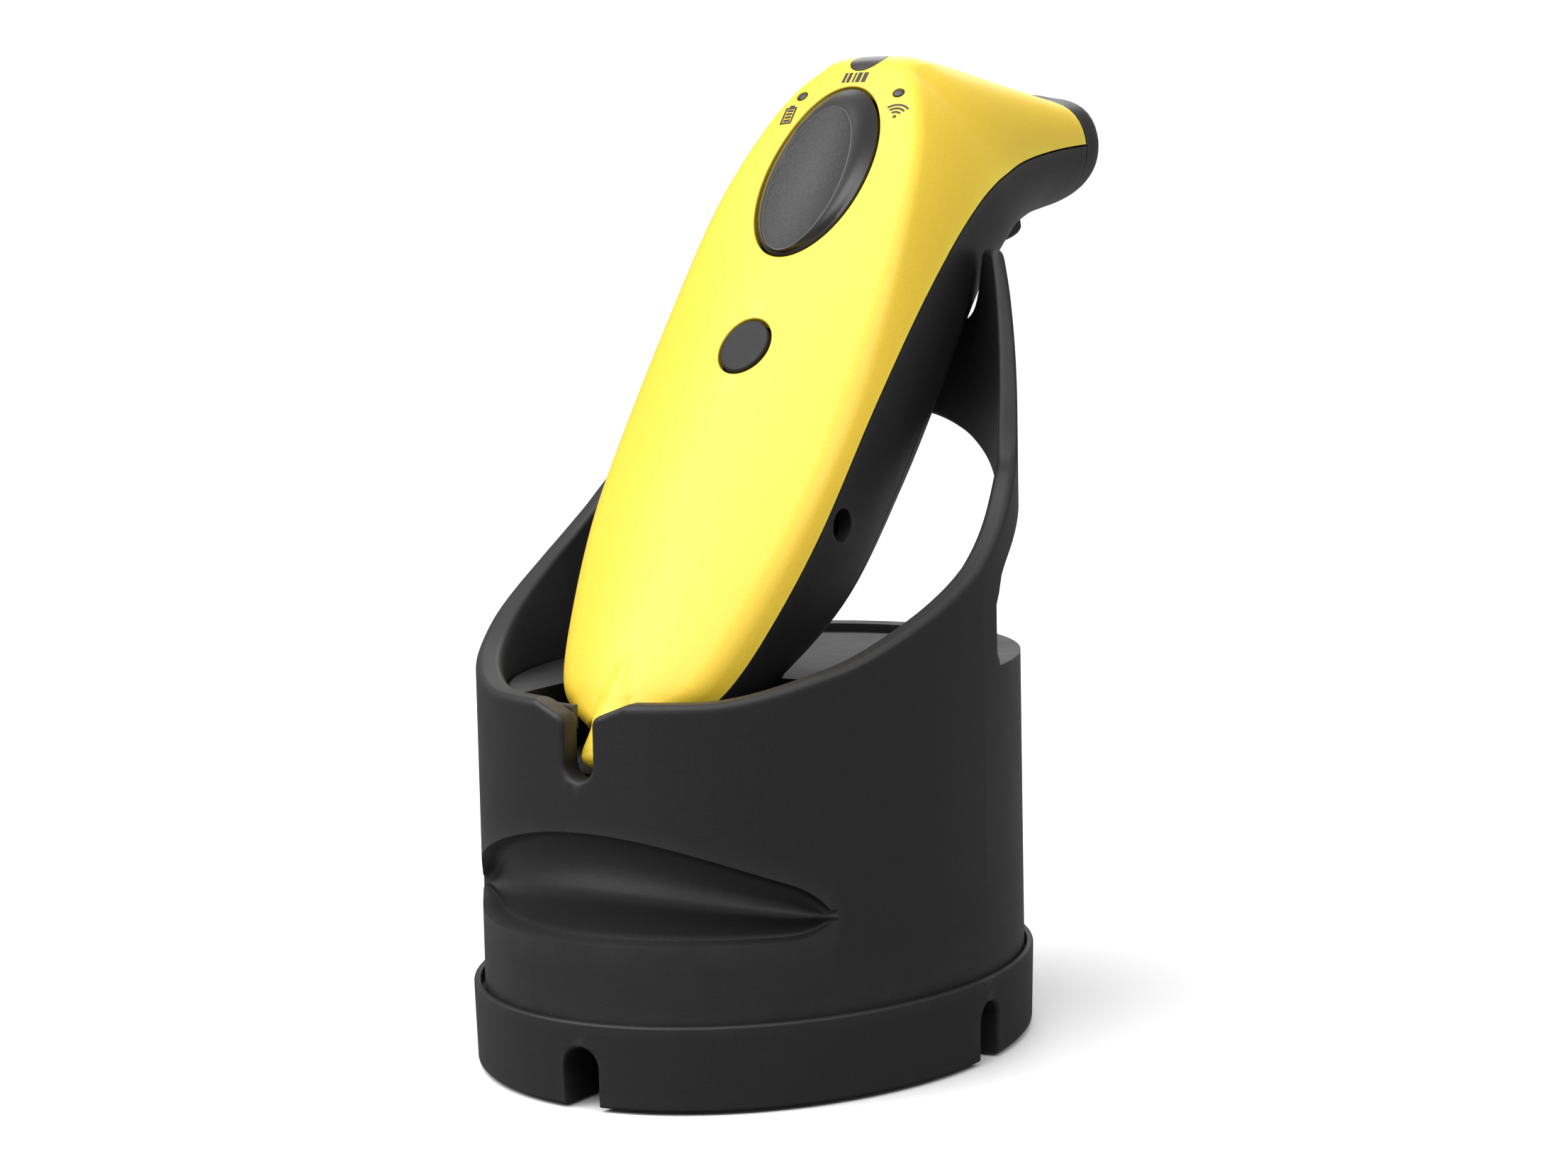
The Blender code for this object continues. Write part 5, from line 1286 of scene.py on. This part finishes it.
class BuildSymbols(bpy.types.Operator):
    """Printed symbols: charge level, radio link and bar pattern"""
    bl_idname = "scanner.build_symbols"
    bl_label = "Symbols"

    def execute(self, context):
        tree = scanner_tree()
        x, y = CHARGE_SPOT
        charge = [rectangle(x + side * 0.8, y, STROKE, 1.25) for side in (-1, 1)]
        charge += [rectangle(x, y + side * 1.38, 0.93, STROKE) for side in (-1, 1)]
        charge.append(rectangle(x, y + 1.7, 0.42, 0.19))
        charge += [rectangle(x, y - 0.9 + 0.6 * k, 0.5, 0.17) for k in range(4)]
        x, y = LINK_SPOT
        link = [rectangle(x, y, 0.22, 0.22)]
        for radius in (0.85, 1.5, 2.15):
            for k in range(6):
                spots = []
                for turn, reach in ((0, -0.15), (0, 0.15), (1, 0.15), (1, -0.15)):
                    angle = math.radians(45 + 15 * (k + turn))
                    out = radius + reach
                    spots.append((x + out * math.cos(angle), y + out * math.sin(angle)))
                link.append(tuple(spots))
        bars = [rectangle(cx, BARS_ALONG, half, 0.95)
                for cx, half in ((-1.72, 0.2), (-1.0, 0.24), (-0.2, 0.13), (0.5, 0.3), (1.42, 0.32))]
        for name, patches in (("symbol_charge", charge), ("symbol_link", link), ("symbol_bars", bars)):
            verts, faces = [], []
            for corners in patches:
                part_verts, part_faces = glyph_bar(tree, corners)
                start = len(verts)
                verts += part_verts
                faces += [tuple(start + i for i in f) for f in part_faces]
            finish_piece(add_piece(name, verts, faces), "scanner", [printed_ink()], [])
        return {"FINISHED"}


class BuildHousing(bpy.types.Operator):
    """Dock housing with its horns, rear window, notch and finger recess"""
    bl_idname = "scanner.build_housing"
    bl_label = "Dock housing"

    def execute(self, context):
        edge = context.scene.scanner_dock.edge
        housing = add_piece("dock_shell", *housing_solid(scanner_tree()))
        foot = BASE_DECK + GAP
        holes = [prism(SCREW_RADIUS + HOLE_GAP, SCREW_RADIUS + HOLE_GAP, foot - MM, FLANGE_TOP + MM,
                       Matrix.Translation(spot), 20) for spot in screw_spots()]
        cut(housing, [window_solid(edge), notch_solid(edge)] + holes)
        crease = housing_point(math.radians(CREASE), 0.0, 0.0)

        def on_crease(point):
            return max(abs(point.y - crease.y), abs(abs(point.x) - crease.x)) < 0.02 * MM

        finish_piece(housing, "dock", [charcoal_dock()], ["dock_housing"],
                     extra=on_crease)
        return {"FINISHED"}


class BuildCradle(bpy.types.Operator):
    """Dock floor with the pit for the scanner's tail"""
    bl_idname = "scanner.build_cradle"
    bl_label = "Cradle floor"

    def execute(self, context):
        inset = HOUSING_WALL + GAP
        angles = [math.radians(a) for a in column_angles()]
        rings = [[housing_point(t, inset + round_in, z) for t in angles]
                 for round_in, z in ((0.0, FLOOR_TOP - FLOOR_THICK), (0.0, FLOOR_TOP - 0.4 * MM),
                                     (0.12 * MM, FLOOR_TOP - 0.12 * MM), (0.4 * MM, FLOOR_TOP))]
        floor = add_piece("cradle_deck", *loft(rings))
        front, back = BUTTON_POINT.y - PIT_REACH[0], BUTTON_POINT.y - PIT_REACH[1]
        cut(floor, [tub_solid((-PIT_HALF_X - PIT_WALL, front + 1.0 * MM, PIT_BOTTOM - PIT_WALL),
                              (PIT_HALF_X + PIT_WALL, back + PIT_WALL, FLOOR_TOP - 1 * MM), inset)], "UNION")
        cut(floor, [tub_solid((-PIT_HALF_X, front, PIT_BOTTOM), (PIT_HALF_X, back, FLOOR_TOP + 5 * MM),
                              inset + PIT_FRONT_WALL)])
        cut(floor, [block((-HOOK_SLOT / 2, BASE_LOW.y - 16 * MM, PIT_BOTTOM),
                          (HOOK_SLOT / 2, front + 4 * MM, FLOOR_TOP + 5 * MM))])
        cut(floor, [prism(PIN_RADIUS + HOLE_GAP, PIN_RADIUS + HOLE_GAP, *PIN_HOLE,
                          Matrix.Translation((side * PIN_X, PIN_Y, 0)), 28) for side in (-1, 1)])
        finish_piece(floor, "dock", [charcoal_dock()], ["cradle_floor"])
        return {"FINISHED"}


class BuildBase(bpy.types.Operator):
    """Base ring with its cable slots, well and screw holes"""
    bl_idname = "scanner.build_base"
    bl_label = "Base ring"

    def execute(self, context):
        dock = context.scene.scanner_dock
        top = dock.base_top
        bottom = BASE_LOW.z
        rings = []
        for share, inset, z in ((BASE_TAPER, 0.5, bottom), (BASE_TAPER, 0.25, bottom + 0.07 * MM),
                                (BASE_TAPER, 0.07, bottom + 0.25 * MM), (BASE_TAPER, 0.0, bottom + 0.5 * MM),
                                *((BASE_TAPER + (1 - BASE_TAPER) * k / 12, 0.0,
                                   bottom + (0.5 + 0.79 * k) * MM) for k in range(1, 12)),
                                (1.0, 0.0, top - 0.35 * MM),
                                (1.0, 0.05, top - 0.17 * MM), (1.0, 0.17, top - 0.05 * MM), (1.0, 0.35, top),
                                (1.0, 0.72, top), (1.0, 0.86, top - 0.06 * MM), (1.0, 0.9, top - 0.2 * MM),
                                (1.0, 0.9, BASE_DECK)):
            rings.append(oval(dock.half_x * share - inset * MM, dock.half_y * share - inset * MM, 200, z))
        base = add_piece("base_skirt", *loft(rings))
        cut(base, [prism(CABLE_WELL[0], CABLE_WELL[1], -5 * MM, CABLE_WELL_TOP, None, 64)])
        for turn in (0, 90, 180, 270):
            cut(base, [slot_solid(math.radians(turn))])
        cut(base, [prism(CENTRE_POST, CENTRE_POST, bottom, CABLE_WELL_TOP + 0.5 * MM, None, 40)], "UNION")
        cut(base, [block((-INLET[0] - HOLE_GAP, INLET_Y - INLET[1] - HOLE_GAP, 2 * MM),
                         (INLET[0] + HOLE_GAP, INLET_Y + INLET[1] + HOLE_GAP, 15 * MM))])
        holes = []
        for spot in screw_spots():
            rings = [oval(r, r, 28, z, Matrix.Translation(spot))
                     for r, z in ((SCREW_HEAD + HOLE_GAP, -2 * MM), (SCREW_HEAD + HOLE_GAP, 3.2 * MM),
                                  (SCREW_RADIUS + HOLE_GAP, 3.2 * MM), (SCREW_RADIUS + HOLE_GAP, 14 * MM))]
            holes.append(loft(rings))
        holes += [prism(FOOT_RADIUS + GAP, FOOT_RADIUS + GAP, -2 * MM, FOOT_THICK + GAP,
                        Matrix.Translation(spot), 36) for spot in foot_spots()]
        cut(base, holes)
        finish_piece(base, "dock", [charcoal_dock()], ["base_ring"])
        return {"FINISHED"}


class FinishInside(bpy.types.Operator):
    """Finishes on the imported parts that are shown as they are"""
    bl_idname = "scanner.finish_inside"
    bl_label = "Inner parts"

    def execute(self, context):
        finishes = {
            "black_plastic": black_shell, "charcoal_plastic": charcoal_dock, "yellow_plastic": yellow_shell,
            "button_rubber": button_satin, "window_glass": dark_glass, "indicator_lens": lamp_lens,
            "circuit_board": circuit_board, "plated_metal": bright_metal, "gold_contact": gold_plate,
            "steel_weight": cast_steel, "cell_wrap": cell_sleeve, "foot_rubber": soft_rubber,
        }
        for name, node in NODES.items():
            if node.hide_render:
                continue
            slot = next((s for s in finishes if node.data.materials and
                         node.data.materials[0] and node.data.materials[0].name.split(".")[0] == s), None)
            if slot is None:
                raise RuntimeError("no finish for " + name)
            for i in range(len(node.data.materials)):
                node.material_slots[i].material = finishes[slot]()
        return {"FINISHED"}


class BuildStage(bpy.types.Operator):
    """Pale floor, soft lights and the camera"""
    bl_idname = "scanner.build_stage"
    bl_label = "Stage"

    def execute(self, context):
        stage = context.scene.scanner_stage
        rings = [oval(r, r, 96, 0.0) for r in (0.05, 0.4, 1.2, 3.0)]
        verts, faces = loft(rings, True, False)
        floor = add_piece("floor", verts, faces)
        for polygon in floor.data.polygons:
            if polygon.normal.z < 0:
                polygon.flip()
        mat = bpy.data.materials.new("pale_floor")
        mat.use_nodes = True
        tree = mat.node_tree
        shader = tree.nodes["Principled BSDF"]
        place = add(tree, "ShaderNodeTexCoord").outputs["Object"]
        cloud = noise(tree, 6.0, 3.0, place)
        pale = mix_colour(tree, cloud, (0.93, 0.93, 0.93), (0.97, 0.97, 0.97))
        seen = add(tree, "ShaderNodeLightPath").outputs["Is Camera Ray"]
        tree.links.new(mix_colour(tree, seen, (0.22, 0.22, 0.22), pale), shader.inputs["Base Color"])
        tree.links.new(spread(tree, cloud, 0.6, 0.75), shader.inputs["Roughness"])
        floor.data.materials.append(mat)

        middle = 0.5 * (Vector(CAD_BOX[0]) + Vector(CAD_BOX[1]))
        for name, kind, spot, size, power in (
                ("key_light", "SUN", (-0.25, -0.47, 0.92), math.radians(70), stage.key_power),
                ("front_panel", "AREA", (-0.5, -0.52, 0.82), 0.45, 0.5 * stage.fill_power),
                ("fill_light", "AREA", (0.72, -0.15, 0.72), 0.5, stage.fill_power),
                ("back_light", "AREA", (-0.3, 0.8, 0.6), 0.6, 0.7 * stage.fill_power)):
            data = bpy.data.lights.new(name, kind)
            data.energy = power
            if kind == "SUN":
                data.angle = size
            else:
                data.shape = "DISK"
                data.size = size
            lamp = bpy.data.objects.new(name, data)
            context.scene.collection.objects.link(lamp)
            lamp.location = middle + Vector(spot)
            lamp.rotation_euler = (middle - lamp.location).to_track_quat("-Z", "Y").to_euler()

        world = bpy.data.worlds.new("pale_surround")
        world.use_nodes = True
        nodes = world.node_tree
        nodes.nodes["Background"].inputs["Color"].default_value = (1.0, 1.0, 1.0, 1.0)
        seen = add(nodes, "ShaderNodeLightPath").outputs["Is Camera Ray"]
        strength = spread(nodes, seen, stage.world, 1.0, 0.0, 1.0)
        nodes.links.new(strength, nodes.nodes["Background"].inputs["Strength"])
        context.scene.world = world
        context.scene.view_settings.view_transform = "Standard"

        azimuth, elevation, roll = CAMERA_TURN
        back = Vector((math.sin(azimuth) * math.cos(elevation), -math.cos(azimuth) * math.cos(elevation),
                       math.sin(elevation)))
        right = Vector((math.cos(azimuth), math.sin(azimuth), 0.0))
        up = back.cross(right)
        across = math.cos(roll) * right - math.sin(roll) * up
        above = math.sin(roll) * right + math.cos(roll) * up
        place = (back * CAMERA_SHIFT[0] + right * CAMERA_SHIFT[1] + up * CAMERA_SHIFT[2]) * BASE_HIGH.x
        data = bpy.data.cameras.new("camera")
        data.lens = CAMERA_LENS
        data.sensor_width = 36.0
        data.clip_start = 0.01
        camera = bpy.data.objects.new("camera", data)
        context.scene.collection.objects.link(camera)
        camera.matrix_world = Matrix((
            (across.x, above.x, back.x, place.x),
            (across.y, above.y, back.y, place.y),
            (across.z, above.z, back.z, place.z),
            (0.0, 0.0, 0.0, 1.0),
        ))
        context.scene.camera = camera
        return {"FINISHED"}


OPERATORS = (BuildTopShell, BuildLowerShell, BuildNose, BuildButtons, BuildLamps, BuildSymbols,
             BuildHousing, BuildCradle, BuildBase, FinishInside, BuildStage)


class ScannerPanel(bpy.types.Panel):
    bl_idname = "VIEW3D_PT_scanner"
    bl_label = "Barcode scanner"
    bl_space_type = "VIEW_3D"
    bl_region_type = "UI"
    bl_category = "Scanner"

    def draw(self, context):
        for settings in (context.scene.scanner_body, context.scene.scanner_dock,
                         context.scene.scanner_finish, context.scene.scanner_stage):
            column = self.layout.column()
            for key in settings.bl_rna.properties.keys():
                if key not in {"rna_type", "name"}:
                    column.prop(settings, key)
        for operator in OPERATORS:
            self.layout.operator(operator.bl_idname)


SETTINGS = (("scanner_body", ScannerBodySettings), ("scanner_dock", DockSettings),
            ("scanner_finish", FinishSettings), ("scanner_stage", StageSettings))


def register():
    for name, group in SETTINGS:
        bpy.utils.register_class(group)
        setattr(bpy.types.Scene, name, PointerProperty(type=group))
    for cls in OPERATORS + (ScannerPanel,):
        bpy.utils.register_class(cls)


def unregister():
    for cls in (ScannerPanel,) + OPERATORS[::-1]:
        bpy.utils.unregister_class(cls)
    for name, group in SETTINGS[::-1]:
        delattr(bpy.types.Scene, name)
        bpy.utils.unregister_class(group)


def main():
    register()
    bpy.ops.scanner.build_stage()
    bpy.ops.scanner.build_top_shell()
    bpy.ops.scanner.build_lower_shell()
    bpy.ops.scanner.build_nose()
    bpy.ops.scanner.build_buttons()
    bpy.ops.scanner.build_lamps()
    bpy.ops.scanner.build_symbols()
    bpy.ops.scanner.build_housing()
    bpy.ops.scanner.build_cradle()
    bpy.ops.scanner.build_base()
    bpy.ops.scanner.finish_inside()


if __name__ == "__main__":
    main()
